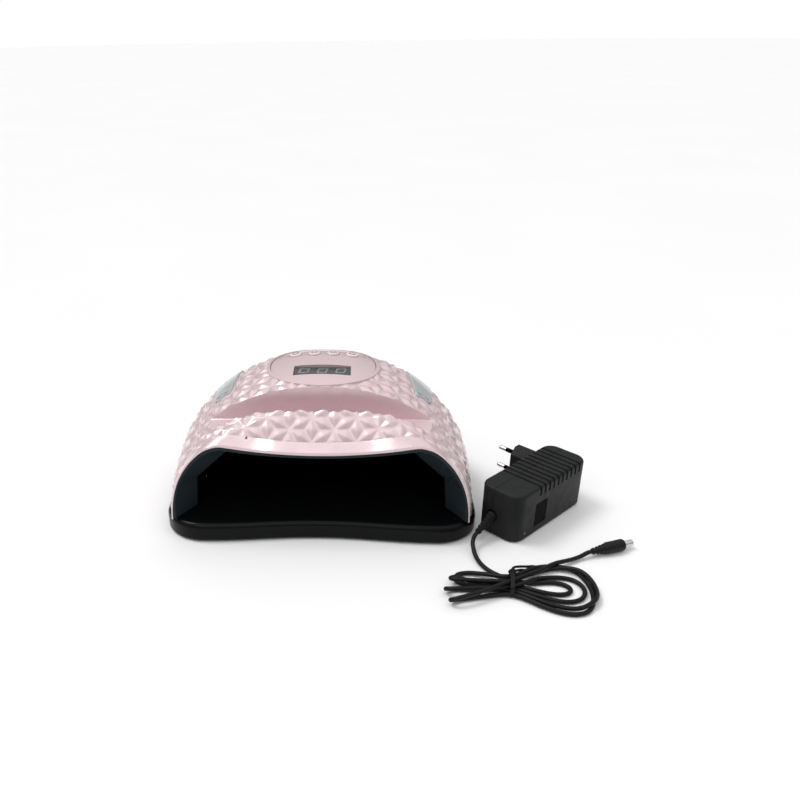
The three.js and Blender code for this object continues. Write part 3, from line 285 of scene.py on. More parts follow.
def make_silver_trim():
    shader = Shader("silver_trim", (0.66, 0.70, 0.70), 0.34, Metallic=0.55, Coat_Weight=0.4,
                    Coat_Roughness=0.12)
    shader.soft_edges(0.0004)
    shader.vary_color(shader.noise(1800, 2), (0.58, 0.62, 0.62), (0.74, 0.78, 0.78))
    shader.vary_roughness(shader.noise(120, 4), 0.28, 0.38)
    shader.bump(shader.cells(2400), 0.00001, 0.3)
    return shader.material


def make_white_key():
    shader = Shader("white_key", (0.80, 0.66, 0.675), 0.4, Coat_Weight=0.2)
    shader.vary_color(shader.noise(700, 3), (0.77, 0.63, 0.645), (0.83, 0.69, 0.70))
    shader.vary_roughness(shader.noise(260, 3), 0.34, 0.46)
    shader.bump(shader.noise(1500, 2), 0.00001, 0.4)
    return shader.material


def make_smoked_glass():
    shader = Shader("smoked_glass", (0.72, 0.73, 0.75), 0.05, IOR=1.3, Transmission_Weight=0.96,
                    Specular_IOR_Level=0.3)
    shader.vary_color(shader.noise(40), (0.70, 0.71, 0.73), (0.75, 0.76, 0.78))
    shader.vary_roughness(shader.noise(160, 4), 0.04, 0.08)
    return shader.material


def make_plain(name, dark, light, rough_low, rough_high, scale=400, **sockets):
    shader = Shader(name, light, rough_high, **sockets)
    shader.vary_color(shader.noise(scale, 3), dark, light)
    shader.vary_roughness(shader.noise(scale * 0.6, 4), rough_low, rough_high)
    shader.bump(shader.noise(scale * 3, 2), 0.00002, 0.3)
    return shader.material


def make_materials():
    return {
        "pinkPearl": make_pink_pearl(),
        "blackGloss": make_black_gloss(),
        "blackSatin": make_black("black_satin", 0.5, 0.03, (0.0013, 0.0014, 0.0016), edge=0),
        "blackMatte": make_black("black_matte", 0.5, 0.22, (0.007, 0.0075, 0.008), 0.00006),
        "cordBlack": make_black("cord_black", 0.4, 0.22, (0.005, 0.005, 0.0055), 0.00002),
        "rubber": make_black("rubber", 0.65, 0.2, (0.007, 0.007, 0.0075), 0.00004),
        "silverTrim": make_silver_trim(),
        "whiteKey": make_white_key(),
        "smokedGlass": make_smoked_glass(),
        "displayBlack": make_plain("display_black", (0.004, 0.004, 0.005), (0.009, 0.009, 0.01),
                                   0.3, 0.42),
        "segmentGrey": make_plain("segment_grey", (0.62, 0.63, 0.63), (0.74, 0.75, 0.75),
                                  0.35, 0.5),
        "boardGreen": make_plain("board_green", (0.012, 0.075, 0.035), (0.02, 0.11, 0.05),
                                 0.35, 0.5, 250),
        # painted shade: the lamp boards are white, coloured mid grey so they stay dark in the shade
        # of the hand space
        "boardWhite": make_plain("board_grey_painted_shade", (0.30, 0.31, 0.30), (0.40, 0.41, 0.40),
                                 0.35, 0.5, 250),
        "nickel": make_plain("nickel", (0.58, 0.58, 0.57), (0.72, 0.72, 0.71), 0.18, 0.34, 500,
                             Metallic=1.0),
        "steel": make_plain("steel", (0.40, 0.40, 0.41), (0.52, 0.52, 0.53), 0.3, 0.45, 500,
                            Metallic=1.0),
        "copper": make_plain("copper", (0.42, 0.17, 0.07), (0.6, 0.27, 0.12), 0.3, 0.45, 800,
                             Metallic=1.0),
        "indicatorGreen": make_plain("indicator_green", (0.16, 0.38, 0.33), (0.24, 0.5, 0.44),
                                     0.15, 0.25, 600, Transmission_Weight=0.3),
    }


# ------------------------------------------------------------------------------ mesh helpers

def mesh_of(points, faces):
    """A mesh of points in drawing millimetres."""
    mesh = bpy.data.meshes.new("working")
    mesh.from_pydata([tuple(point) for point in np.asarray(points, float)], [], faces)
    mesh.update()
    return mesh


def boolean(first, second, operation):
    """Joins or cuts two closed meshes, and gives a new mesh."""
    base = bpy.data.objects.new("boolean_base", first)
    tool = bpy.data.objects.new("boolean_tool", second)
    for item in (base, tool):
        bpy.context.scene.collection.objects.link(item)
    modifier = base.modifiers.new("boolean", "BOOLEAN")
    modifier.operation = operation
    modifier.solver = "MANIFOLD"
    modifier.object = tool
    bpy.context.view_layer.update()
    result = bpy.data.meshes.new_from_object(
        base.evaluated_get(bpy.context.evaluated_depsgraph_get()))
    bpy.data.objects.remove(base)
    bpy.data.objects.remove(tool)
    return result


def cut(mesh, *tools):
    for tool in tools:
        mesh = boolean(mesh, tool, "DIFFERENCE")
    return mesh


def keep(mesh, *tools):
    for tool in tools:
        mesh = boolean(mesh, tool, "INTERSECT")
    return mesh


def join(mesh, *tools):
    for tool in tools:
        mesh = boolean(mesh, tool, "UNION")
    return mesh


def block(low, high):
    (x0, y0, z0), (x1, y1, z1) = low, high
    corners = [(x, y, z) for z in (z0, z1) for y in (y0, y1) for x in (x0, x1)]
    faces = [(0, 2, 3, 1), (4, 5, 7, 6), (0, 1, 5, 4), (2, 6, 7, 3), (0, 4, 6, 2), (1, 3, 7, 5)]
    return mesh_of(corners, faces)


def layers_mesh(layers):
    """A closed mesh through outlines with the same number of points, capped at both ends."""
    layers = [np.asarray(layer, float) for layer in layers]
    count = len(layers[0])
    around = np.arange(count)
    onward = (around + 1) % count
    faces = []
    for level in range(len(layers) - 1):
        low, high = level * count, (level + 1) * count
        faces += np.stack([around + low, onward + low, onward + high, around + high], 1).tolist()
    top = (len(layers) - 1) * count
    faces.append(around[::-1].tolist())
    faces.append((around + top).tolist())
    mesh = mesh_of(np.vstack(layers), faces)
    shape = bmesh.new()
    shape.from_mesh(mesh)
    if shape.calc_volume(signed=True) < 0:
        mesh.flip_normals()
    shape.free()
    return mesh


def together(meshes):
    """One mesh of several that stay apart."""
    shape = bmesh.new()
    for mesh in meshes:
        shape.from_mesh(mesh)
    result = bpy.data.meshes.new("working")
    shape.to_mesh(result)
    shape.free()
    return result


def prism(outline, bottom, top):
    """An upright prism over an anticlockwise outline of (x, y) points."""
    flat = np.asarray(outline, float)
    return layers_mesh([np.column_stack([flat, np.full(len(flat), z)]) for z in (bottom, top)])


def moved(mesh, matrix):
    mesh.transform(matrix)
    return mesh


def turned(profile, sides=48, matrix=None):
    """A solid of revolution about Z from (radius, height) pairs that start and end on the axis."""
    angles = np.linspace(0, 2 * math.pi, sides, endpoint=False)
    rings = profile[1:-1]
    points = [(radius * math.cos(a), radius * math.sin(a), height)
              for radius, height in rings for a in angles]
    points += [(0, 0, profile[0][1]), (0, 0, profile[-1][1])]
    foot, head = len(points) - 2, len(points) - 1
    faces = []
    for side in range(sides):
        onward = (side + 1) % sides
        faces.append((foot, onward, side))
        for ring in range(len(rings) - 1):
            a, b = ring * sides, (ring + 1) * sides
            faces.append((a + side, a + onward, b + onward, b + side))
        last = (len(rings) - 1) * sides
        faces.append((head, last + side, last + onward))
    mesh = mesh_of(points, faces)
    return mesh if matrix is None else moved(mesh, matrix)


def rounded_profile(points, radius, steps=5):
    """Rounds the inner corners of a (radius, height) profile."""
    result = [points[0]]
    for before, here, after in zip(points, points[1:], points[2:]):
        before, here, after = (np.asarray(p, float) for p in (before, here, after))
        to_before, to_after = before - here, after - here
        reach = min(radius, 0.45 * np.linalg.norm(to_before), 0.45 * np.linalg.norm(to_after))
        start = here + to_before / np.linalg.norm(to_before) * reach
        end = here + to_after / np.linalg.norm(to_after) * reach
        for t in np.linspace(0, 1, steps):
            result.append(tuple((1 - t) ** 2 * start + 2 * t * (1 - t) * here + t * t * end))
    result.append(points[-1])
    return result


def facing(point, direction):
    """A matrix that stands a piece made along +Z on a point, facing a direction."""
    turn = Vector(direction).to_track_quat("Z", "Y").to_matrix().to_4x4()
    return Matrix.Translation(Vector(point)) @ turn


def smooth_line(points, spacing):
    """A Catmull-Rom line through points, resampled at an even spacing."""
    points = np.asarray(points, float)
    padded = np.vstack([2 * points[0] - points[1], points, 2 * points[-1] - points[-2]])
    dense = []
    for a, b, c, d in zip(padded, padded[1:], padded[2:], padded[3:]):
        t = np.linspace(0, 1, 24, endpoint=False)[:, None]
        dense.append(0.5 * (2 * b + (c - a) * t + (2 * a - 5 * b + 4 * c - d) * t ** 2
                            + (3 * b - a - 3 * c + d) * t ** 3))
    return resampled(np.vstack([*dense, points[-1:]]), spacing)


def resampled(line, spacing):
    lengths = np.concatenate([[0], np.cumsum(np.linalg.norm(np.diff(line, axis=0), axis=1))])
    count = max(int(round(lengths[-1] / spacing)), 2)
    at = np.linspace(0, lengths[-1], count + 1)
    return np.column_stack([np.interp(at, lengths, line[:, axis]) for axis in range(3)])


def add_piece(name, mesh, slot, body, *nodes, sharp=35.0, drawing=True):
    """Makes a shown piece of a mesh, in place of its CAD nodes."""
    if drawing:
        mesh.transform(Matrix.Scale(MM, 4) @ Matrix.Translation((0, -ORIGIN_Y, 0)))
    mesh.name = name
    for polygon in mesh.polygons:
        polygon.use_smooth = True
    mesh.set_sharp_from_angle(angle=math.radians(sharp))
    mesh.materials.clear()
    mesh.materials.append(materials[slot])
    piece = bpy.data.objects.new(name, mesh)
    bpy.context.scene.collection.objects.link(piece)
    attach(piece, body)
    if nodes:
        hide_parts(*nodes)
    return piece


materials = make_materials()
make_camera()
make_stage()

# ------------------------------------------------------------------------------ dome surface

SHELL_BASE = 17.4
SHELL_TOP = 117.5
SHELL_HALF_WIDTH = 131.5
SHELL_MIDDLE_Y = 13
SHELL_REAR_Y = 100
SHELL_FRONT_Y = -95.6
FRONT_NARROWING = 0.075
CROWN_Y = 25.4
CROWN_FRONT_Y = -108.5
ARCH_POWER = 2.13
ARCH_FRONT_GAIN = 4.6
ARCH_FRONT_POWER = 6
CROWN_FRONT_POWER = 2.61
CROWN_REAR_POWER = 2.64
BROW_Y = -71
BROW_HEIGHT = 82.9
BROW_SLOPE = 1.25
BROW_HOLLOW = 4.9
BROW_HALF_WIDTH = 84
BROW_BLEND = 6.4
WALL = 2.8
FRONT_LIMIT_Y = -104
SHEET_SIDE, SHEET_FRONT, SHEET_REAR = 215, 165, 180
SLIVER = 0.02
FACET_PITCH = 21.1
FACET_RAISE = 2
FACET_SHIFT = (3, 8)
SMOOTH_PITCH = 7.5
SMOOTH_RISE = 0.8


def dome_half_width(y):
    rear = np.clip((y - SHELL_MIDDLE_Y) / (SHELL_REAR_Y - SHELL_MIDDLE_Y), 0, 1)
    front = np.clip((SHELL_MIDDLE_Y - y) / (SHELL_MIDDLE_Y - SHELL_FRONT_Y), 0, 1)
    return SHELL_HALF_WIDTH * np.sqrt(1 - rear ** 2) * (1 - FRONT_NARROWING * front ** 2.5)


def crown_rise(y):
    behind = y > CROWN_Y
    end = np.where(behind, SHELL_REAR_Y, CROWN_FRONT_Y)
    power = np.where(behind, CROWN_REAR_POWER, CROWN_FRONT_POWER)
    reach = np.clip((y - CROWN_Y) / (end - CROWN_Y), 0, 1)
    return (SHELL_TOP - SHELL_BASE) * (1 - reach ** power) ** (1 / power)


def dome_height(x, y):
    """The smooth dome: an arch along the crown line, blended into the sloping brow at the front."""
    x, y = np.broadcast_arrays(np.asarray(x, float), np.asarray(y, float))
    across = np.clip(np.abs(x) / np.maximum(dome_half_width(y), 1e-6), 0, 1)
    front = np.clip((SHELL_MIDDLE_Y - y) / (SHELL_MIDDLE_Y - SHELL_FRONT_Y), 0, 1)
    power = ARCH_POWER + ARCH_FRONT_GAIN * front ** ARCH_FRONT_POWER
    arch = crown_rise(y) * np.sqrt(1 - across ** power)
    hollow = BROW_HOLLOW * np.minimum(np.abs(x) / BROW_HALF_WIDTH, 1) ** 2
    brow = BROW_HEIGHT - SHELL_BASE + BROW_SLOPE * (y - BROW_Y + hollow)
    mix = np.clip(0.5 + 0.5 * (brow - arch) / BROW_BLEND, 0, 1)
    return SHELL_BASE + brow * (1 - mix) + arch * mix - BROW_BLEND * mix * (1 - mix)


def dome_points(x, y):
    x, y = np.broadcast_arrays(x, y)
    return np.stack([x, y, dome_height(x, y)], -1)


def dome_normal(x, y, step=0.5):
    slope_x = (dome_height(x + step, y) - dome_height(x - step, y)) / (2 * step)
    slope_y = (dome_height(x, y + step) - dome_height(x, y - step)) / (2 * step)
    return Vector((-float(slope_x), -float(slope_y), 1)).normalized()


def walk(path, distance):
    """Where a distance along each path leads; past its end the wall carries on straight down."""
    steps = np.linalg.norm(np.diff(path, axis=1), axis=2)
    along = np.concatenate([np.zeros((len(path), 1)), np.cumsum(steps, axis=1)], axis=1)
    place_in = np.clip((along < distance[:, None]).sum(1) - 1, 0, path.shape[1] - 2)
    rows = np.arange(len(path))
    share = (distance - along[rows, place_in]) / np.maximum(steps[rows, place_in], 1e-9)
    start, end = path[rows, place_in], path[rows, place_in + 1]
    point = start + np.clip(share, 0, 1)[:, None] * (end - start)
    point[:, 2] -= np.maximum(distance - along[:, -1], 0)
    return point


def plan_reach(angle):
    inside = np.zeros_like(angle)
    outside = np.full_like(angle, 2 * SHELL_HALF_WIDTH)
    for _ in range(30):
        middle = (inside + outside) / 2
        x, y = middle * np.cos(angle), CROWN_Y + middle * np.sin(angle)
        within = (y < SHELL_REAR_Y) & (np.abs(x) < dome_half_width(y))
        inside = np.where(within, middle, inside)
        outside = np.where(within, outside, middle)
    return inside


def wrap(sheet):
    """Wraps points of a flat sheet (u, v) over the dome from its crown point.

    Ahead of the crown v runs down the centre line and u across; behind it the sheet fans out."""
    u, v = sheet[:, 0], sheet[:, 1]
    side = np.where(u < 0, -1.0, 1.0)
    share = np.linspace(0, 1, 91)
    eased = np.sin(share * math.pi / 2)
    angle = np.arctan2(np.maximum(v, 0), np.abs(u))
    reach = plan_reach(angle)
    fan = dome_points((side * reach * np.cos(angle))[:, None] * eased,
                      CROWN_Y + (reach * np.sin(angle))[:, None] * eased)
    centre = dome_points(0.0, CROWN_Y + (FRONT_LIMIT_Y - CROWN_Y) * share)
    y = walk(np.broadcast_to(centre, (len(u), *centre.shape)), np.maximum(-v, 0))[:, 1]
    across = dome_points((side * dome_half_width(y))[:, None] * eased, y[:, None])
    behind = walk(fan, np.hypot(u, v))
    return np.where((v > 0)[:, None], behind, walk(across, np.abs(u)))


def wrap_normal(sheet, step=0.8):
    along_u = wrap(sheet + (step, 0)) - wrap(sheet - (step, 0))
    along_v = wrap(sheet + (0, step)) - wrap(sheet - (0, step))
    normal = np.cross(along_u, along_v)
    return normal / np.linalg.norm(normal, axis=1, keepdims=True)


def sheet_cells(pitch):
    """The triangles of the sheet's lattice, as (cell, corner, uv)."""
    column = pitch * math.sqrt(3) / 2
    columns = math.ceil(SHEET_SIDE / column)
    rows = (-math.ceil(SHEET_FRONT / pitch), math.ceil(SHEET_REAR / pitch))
    i, j = np.meshgrid(np.arange(-columns, columns), np.arange(*rows), indexing="ij")
    shift = np.abs(i) % 2

    def corner(i, j):
        return np.stack([(i + 0.5) * column + FACET_SHIFT[0],
                         (j + (np.abs(i) % 2) / 2) * pitch + FACET_SHIFT[1]], -1)

    lower = [corner(i, j), corner(i + 1, j + shift), corner(i, j + 1)]
    upper = [corner(i + 1, j + shift), corner(i + 1, j + 1 + shift), corner(i, j + 1)]
    return np.concatenate([np.stack(cell, -2).reshape(-1, 3, 2) for cell in (lower, upper)])


def split_triangles(count):
    """Weights of the points in a triangle whose sides are split, and its small triangles."""
    spots = [(a, b) for a in range(count + 1) for b in range(count + 1 - a)]
    number = {spot: place_in for place_in, spot in enumerate(spots)}
    weights = np.array([((count - a - b) / count, a / count, b / count) for a, b in spots])
    small = []
    for a, b in spots:
        if a + b < count:
            small.append((number[a, b], number[a + 1, b], number[a, b + 1]))
        if a + b < count - 1:
            small.append((number[a + 1, b], number[a + 1, b + 1], number[a, b + 1]))
    return weights, np.array(small)


def dome_solid(pitch, offset, rise=0.0, splits=1, rounds=0):
    """A closed solid under the wrapped sheet, raised at the middles of the lattice's edges."""
    cells = sheet_cells(pitch)
    middle = cells.mean(axis=1)
    triangles = []
    for k in range(3):
        start, end = cells[:, k], cells[:, (k + 1) % 3]
        peak = (start + end) / 2
        triangles.append(np.stack([start, peak, middle], 1))
        triangles.append(np.stack([peak, end, middle], 1))
    sheet = np.concatenate(triangles)
    peaks = np.zeros(sheet.shape[:2])
    for k in range(6):
        peaks[k * len(cells):(k + 1) * len(cells), 1 - k % 2] = rise
    keys = np.round(sheet.reshape(-1, 2) * 50 + 0.137).astype(int)
    _, first, place_in = np.unique(keys, axis=0, return_index=True, return_inverse=True)
    spots = sheet.reshape(-1, 2)[first]
    lift = offset + peaks.ravel()[first]
    points = wrap(spots) + lift[:, None] * wrap_normal(spots)
    corners = points[place_in.ravel()].reshape(-1, 3, 3)
    weights, small = split_triangles(splits)
    fine = np.einsum("pc,tcx->tpx", weights, corners).reshape(-1, 3)
    fine_sheet = np.einsum("pc,tcx->tpx", weights, sheet).reshape(-1, 2)
    keys = np.round(fine_sheet * 50 + 0.137).astype(int)
    _, first, place_in = np.unique(keys, axis=0, return_index=True, return_inverse=True)
    points = fine[first]
    starts = np.arange(len(corners)) * len(weights)
    faces = place_in.ravel()[(starts[:, None, None] + small).reshape(-1, 3)]
    edges = np.concatenate([faces[:, [0, 1]], faces[:, [1, 2]], faces[:, [2, 0]]])
    for _ in range(rounds):
        total = np.zeros_like(points)
        np.add.at(total, edges[:, 0], points[edges[:, 1]])
        near = np.bincount(edges[:, 0], minlength=len(points))[:, None]
        points = 0.45 * points + 0.55 * total / near
    forward = edges[:, 0] * len(points) + edges[:, 1]
    backward = edges[:, 1] * len(points) + edges[:, 0]
    rim = edges[~np.isin(forward, backward)]
    skirt = np.column_stack([rim[:, 1], rim[:, 0], np.full(len(rim), len(points))])
    return mesh_of(np.vstack([points, [(0, -60, -FAR)]]), np.vstack([faces, skirt]).tolist())


smooth_domes = {}


def smooth_dome(offset):
    if offset not in smooth_domes:
        smooth_domes[offset] = dome_solid(SMOOTH_PITCH, offset)
    return smooth_domes[offset].copy()


# ------------------------------------------------------------------------------ housing

MOUTH_Y = -85
MOUTH_LEAN = 0.141
BAND_TOP = 4.6
BAND_SIDES = 9
BAND_REACH = 125
LIP_OFFSET = -0.4
LIP_INSET = 1.2
BEZEL_RIM = 1.3
SLOT_FLOOR = 85
SLOT_FRONT_Y = -54
SLOT_BACK_Y = -31
SLOT_BACK_LEAN = 3.5
PANEL_Y = 21
PANEL_RX = 47
PANEL_RY = 44.5
COLLAR_WIDTH = 3.2
COLLAR_RISE = 1.9
PANEL_RISE = 1.2
PANEL_THICKNESS = 3
PANEL_GAP = 0.5
DISPLAY_Y = 2
DISPLAY_SIZE = (50, 19)
DIGIT_TOP = 114.5
DIGIT_Y = 6
DIGIT_CENTRES = (-16.2, 0, 16.2)
DIGIT_HALF_WIDTH, DIGIT_HALF_HEIGHT, DIGIT_BAR = 4.4, 5.0, 1.4
MARK_INNER, MARK_OUTER = 2.5, 3.05
DIGIT_LEAN = 0.16
BUTTON_Y = 38.5
BUTTON_SPACING = 17
BUTTON_RADIUS = 5.6
TRIM_X = 88
TRIM_Y = 21
TRIM_LENGTH = 54
TRIM_FRONT_WIDTH = 17
TRIM_REAR_WIDTH = 28
TRIM_RISE = 2.1
TRIM_GAP = 0.45
TRIM_SLOT_X, TRIM_SLOT_FOOT = 4.1, 2.8
TRIM_SLOT_SIZE = (4.8, 2.2)
REAR_Y = 60
REAR_PAD_HALF_WIDTH = 58
REAR_PAD_BOTTOM = 23
REAR_PAD_TOP = 62
VENT_PLACES = [-46 + 8 * place_in for place_in in range(9)]
VENT_WIDTH = 3.2
VENT_BOTTOM = 30
VENT_TOP = 54
JACK_X = 44
JACK_Z = 34
JACK_RADIUS = 4.6


def behind_mouth(start, end):
    """The space between two distances behind the leaning plane of the front opening."""
    lean = Matrix.Rotation(-math.atan(MOUTH_LEAN), 4, "X")
    where = Matrix.Translation((0, MOUTH_Y, SHELL_BASE))
    return moved(block((-FAR, start, -FAR), (FAR, end, FAR)), where @ lean)


def band_prism(overlap):
    """The plain band round the opening: deeper at the side walls than on the sloping brow."""
    share = np.linspace(1, -1, 61)
    depth = BAND_TOP + (BAND_SIDES - BAND_TOP) * np.abs(share) ** 3 + overlap
    outline = [(-FAR, -1), (FAR, -1), (FAR, BAND_SIDES + overlap)]
    outline += list(zip(share * BAND_REACH, depth)) + [(-FAR, BAND_SIDES + overlap)]
    lean = Matrix.Rotation(-math.atan(MOUTH_LEAN), 4, "X")
    where = Matrix.Translation((0, MOUTH_Y, SHELL_BASE))
    return moved(prism(outline, -FAR, FAR), where @ lean)


def oval_prism(growth):
    angles = np.linspace(0, 2 * math.pi, 120, endpoint=False)
    outline = np.column_stack([(PANEL_RX + growth) * np.cos(angles),
                               PANEL_Y + (PANEL_RY + growth) * np.sin(angles)])
    return prism(outline, 60, 160)


def arc(centre, radius, start, end, steps=6):
    """Points of an arc between two angles in degrees."""
    angles = np.radians(np.linspace(start, end, steps))
    return [(centre[0] + radius * math.cos(a), centre[1] + radius * math.sin(a)) for a in angles]


def slot_prism(growth):
    """The phone slot's space, drawn as (y, z) and run along X, with rounded floor corners."""
    top = 160
    floor = SLOT_FLOOR - growth
    back = SLOT_BACK_Y + SLOT_BACK_LEAN * (top - SLOT_FLOOR) / 30
    outline = arc((SLOT_FRONT_Y + 2 - growth, floor + 2), 2, 180, 270)
    outline += arc((SLOT_BACK_Y - 2 + growth, floor + 2), 2, 270, 360)
    outline += [(back + growth, top), (SLOT_FRONT_Y - growth, top)]
    ends = [[(x, y, z) for y, z in outline] for x in (-FAR / 2, FAR / 2)]
    return layers_mesh(ends)


def bend_through(start, corner, end, steps=6):
    share = np.linspace(0, 1, steps)[:, None]
    start, corner, end = (np.asarray(p, float) for p in (start, corner, end))
    return ((1 - share) ** 2 * start + 2 * share * (1 - share) * corner + share ** 2 * end).tolist()


def trim_frame():
    normal = dome_normal(TRIM_X, TRIM_Y)
    along = Vector((0, 1, 0))
    along = (along - along.dot(normal) * normal).normalized()
    centre = Vector(dome_points(TRIM_X, TRIM_Y))
    return centre, along.cross(normal), along, normal


def trim_outline(inset):
    front, rear = TRIM_FRONT_WIDTH / 2 - inset, TRIM_REAR_WIDTH / 2 - inset
    half, bend = TRIM_LENGTH / 2 - inset, 4
    right = bend_through((front - bend, -half), (front, -half), (front + 0.4, -half + bend))
    right += bend_through((rear - 0.4, half - bend), (rear, half), (rear - bend, half))
    return right + [(-x, y) for x, y in right[::-1]]


def trim_prism(side, outline, bottom=-20, top=20):
    centre, across, along, normal = trim_frame()
    layers = []
    for height in (bottom, top):
        layer = [centre + across * x + along * y + normal * height for x, y in outline]
        if side < 0:
            layer = [Vector((-point.x, point.y, point.z)) for point in layer[::-1]]
        layers.append([tuple(point) for point in layer])
    return layers_mesh(layers)


def smooth_over(body, region_at, rise):
    """Replaces the relief inside a region with a smooth skin at its own height."""
    overlap = 0.05
    return join(cut(body, region_at(0)), keep(smooth_dome(rise), region_at(overlap)))


def make_shell():
    def collar(overlap):
        return oval_prism(COLLAR_WIDTH + PANEL_GAP + overlap)

    def pad(overlap):
        half = REAR_PAD_HALF_WIDTH + overlap
        return block((-half, REAR_Y, REAR_PAD_BOTTOM - overlap), (half, FAR, REAR_PAD_TOP + overlap))

    outer = dome_solid(FACET_PITCH, 0, FACET_RAISE, splits=6, rounds=1)
    outer = smooth_over(outer, band_prism, SMOOTH_RISE)
    outer = smooth_over(outer, collar, COLLAR_RISE)
    outer = smooth_over(outer, pad, SMOOTH_RISE)
    hollow = cut(smooth_dome(-WALL), slot_prism(WALL))
    lip_hollow = keep(smooth_dome(LIP_OFFSET), band_prism(-LIP_INSET))
    shell = cut(keep(outer, behind_mouth(0, FAR)), hollow, lip_hollow, slot_prism(0),
                oval_prism(PANEL_GAP))
    for side in (-1, 1):
        shell = cut(shell, trim_prism(side, trim_outline(0)))
    vents = []
    for x in VENT_PLACES:
        middle, radius = x + VENT_WIDTH / 2, VENT_WIDTH / 2
        outline = arc((middle, VENT_TOP - radius), radius, 0, 180)
        outline += arc((middle, VENT_BOTTOM + radius), radius, 180, 360)
        vents.append(layers_mesh([[(x, y, z) for x, z in outline] for y in (REAR_Y, FAR)]))
    shell = cut(shell, together(vents))
    hole = turned([(0, REAR_Y), (JACK_RADIUS + GAP, REAR_Y), (JACK_RADIUS + GAP, FAR), (0, FAR)],
                  40, facing((JACK_X, 0, JACK_Z), (0, 1, 0)))
    shell = cut(shell, hole)
    return largest_part(keep(shell, block((-FAR, -FAR, SHELL_BASE), (FAR, FAR, FAR))))


def largest_part(mesh):
    """Drops the loose pieces and the slivers that a cut can leave."""
    edges = np.empty(len(mesh.edges) * 2, int)
    mesh.edges.foreach_get("vertices", edges)
    edges = edges.reshape(-1, 2)
    label = np.arange(len(mesh.vertices))
    while True:
        lowest = np.minimum(label[edges[:, 0]], label[edges[:, 1]])
        before = label.copy()
        np.minimum.at(label, edges[:, 0], lowest)
        np.minimum.at(label, edges[:, 1], lowest)
        label = label[label]
        if np.array_equal(before, label):
            break
    biggest = np.bincount(label).argmax()
    shape = bmesh.new()
    shape.from_mesh(mesh)
    shape.verts.ensure_lookup_table()
    spare = [shape.verts[place_in] for place_in in np.flatnonzero(label != biggest)]
    bmesh.ops.delete(shape, geom=spare, context="VERTS")
    bmesh.ops.dissolve_degenerate(shape, dist=SLIVER, edges=shape.edges)
    shape.to_mesh(mesh)
    shape.free()
    return mesh


def button_sites():
    return [(Vector(dome_points(x, BUTTON_Y)), dome_normal(x, BUTTON_Y))
            for x in (place_in * BUTTON_SPACING for place_in in (-1.5, -0.5, 0.5, 1.5))]


def make_panel():
    panel = cut(keep(smooth_dome(PANEL_RISE), oval_prism(0)),
                smooth_dome(PANEL_RISE - PANEL_THICKNESS))
    half_x, half_y = (size / 2 for size in DISPLAY_SIZE)
    panel = cut(panel, block((-half_x, DISPLAY_Y - half_y, 90), (half_x, DISPLAY_Y + half_y, 140)))
    for point, normal in button_sites():
        rim = BUTTON_RADIUS + 0.4
        panel = cut(panel, turned([(0, -8), (rim, -8), (rim, 8), (0, 8)], 48, facing(point, normal)))
    return panel


def make_trim(side):
    trim = keep(smooth_dome(TRIM_RISE), trim_prism(side, trim_outline(TRIM_GAP)))
    trim = cut(trim, smooth_dome(-1))
    length, width = TRIM_SLOT_SIZE
    foot = TRIM_SLOT_FOOT - TRIM_LENGTH / 2
    for end in (-1, 1):
        left, right = end * TRIM_SLOT_X - length / 2, end * TRIM_SLOT_X + length / 2
        slot = [(left, foot), (right, foot), (right, foot + width), (left, foot + width)]
        trim = cut(trim, trim_prism(side, slot))
    return trim


def make_button(point, normal):
    profile = [(0, -5.4), (1.6, -5.4), (1.6, -1.6), (BUTTON_RADIUS, -1.6), (BUTTON_RADIUS, 1.9),
               (BUTTON_RADIUS - 0.7, 2.5), (2.4, 2.85), (0, 2.9)]
    return turned(rounded_profile(profile, 0.45), 56, facing(point, normal))


def make_digits():
    """Three zeros made of bars that lean to the right."""
    half_wide, half_high, thick = DIGIT_HALF_WIDTH, DIGIT_HALF_HEIGHT, DIGIT_BAR
    bars = []
    for centre in DIGIT_CENTRES:
        spans = [(-half_wide + 0.5, y, half_wide - 0.5, y + thick)
                 for y in (-half_high, half_high - thick)]
        for left in (-half_wide, half_wide - thick):
            spans.append((left, 0.25, left + thick, half_high - 0.5))
            spans.append((left, 0.5 - half_high, left + thick, -0.25))
        for x0, y0, x1, y1 in spans:
            corners = [(x0, y0), (x1, y0), (x1, y1), (x0, y1)]
            outline = [(centre + x + DIGIT_LEAN * y, DIGIT_Y + y) for x, y in corners]
            bars.append(prism(outline, DIGIT_TOP - 0.5, DIGIT_TOP))
    return together(bars)


def make_button_mark(point, normal, number):
    """A plain printed mark on a button: an open ring with a short bar."""
    ring = arc((0, 0), MARK_OUTER, 120, 420, 30) + arc((0, 0), MARK_INNER, 60, -240, 30)
    bar = [(-0.3, 1.2), (0.3, 1.2), (0.3, 3.4), (-0.3, 3.4)]
    turn = Matrix.Rotation(math.radians(90 * (number % 2)), 4, "Z")
    base = Matrix.Translation(point) @ normal.to_track_quat("Z", "Y").to_matrix().to_4x4() @ turn
    return together([moved(prism(outline, 2.6, 2.93), base) for outline in (ring, bar)])


def make_housing():
    add_piece("shell", make_shell(), "pinkPearl", "housing", "outer_shell", sharp=28)
    add_piece("panel", make_panel(), "pinkPearl", "housing", "control_panel", sharp=30)
    for name, side in (("left", -1), ("right", 1)):
        add_piece(f"trim_{name}", make_trim(side), "silverTrim", "housing", f"side_trim_{name}")
    add_piece("digits", make_digits(), "segmentGrey", "housing", "display_digits")
    for number, site in enumerate(button_sites(), 1):
        add_piece(f"button_{number}_mark", make_button_mark(*site, number), "displayBlack",
                  f"button_{number}")
        add_piece(f"button_{number}", make_button(*site), "whiteKey", f"button_{number}",
                  f"button_cap_{number}")


make_housing()

# ------------------------------------------------------------------------------ hand space

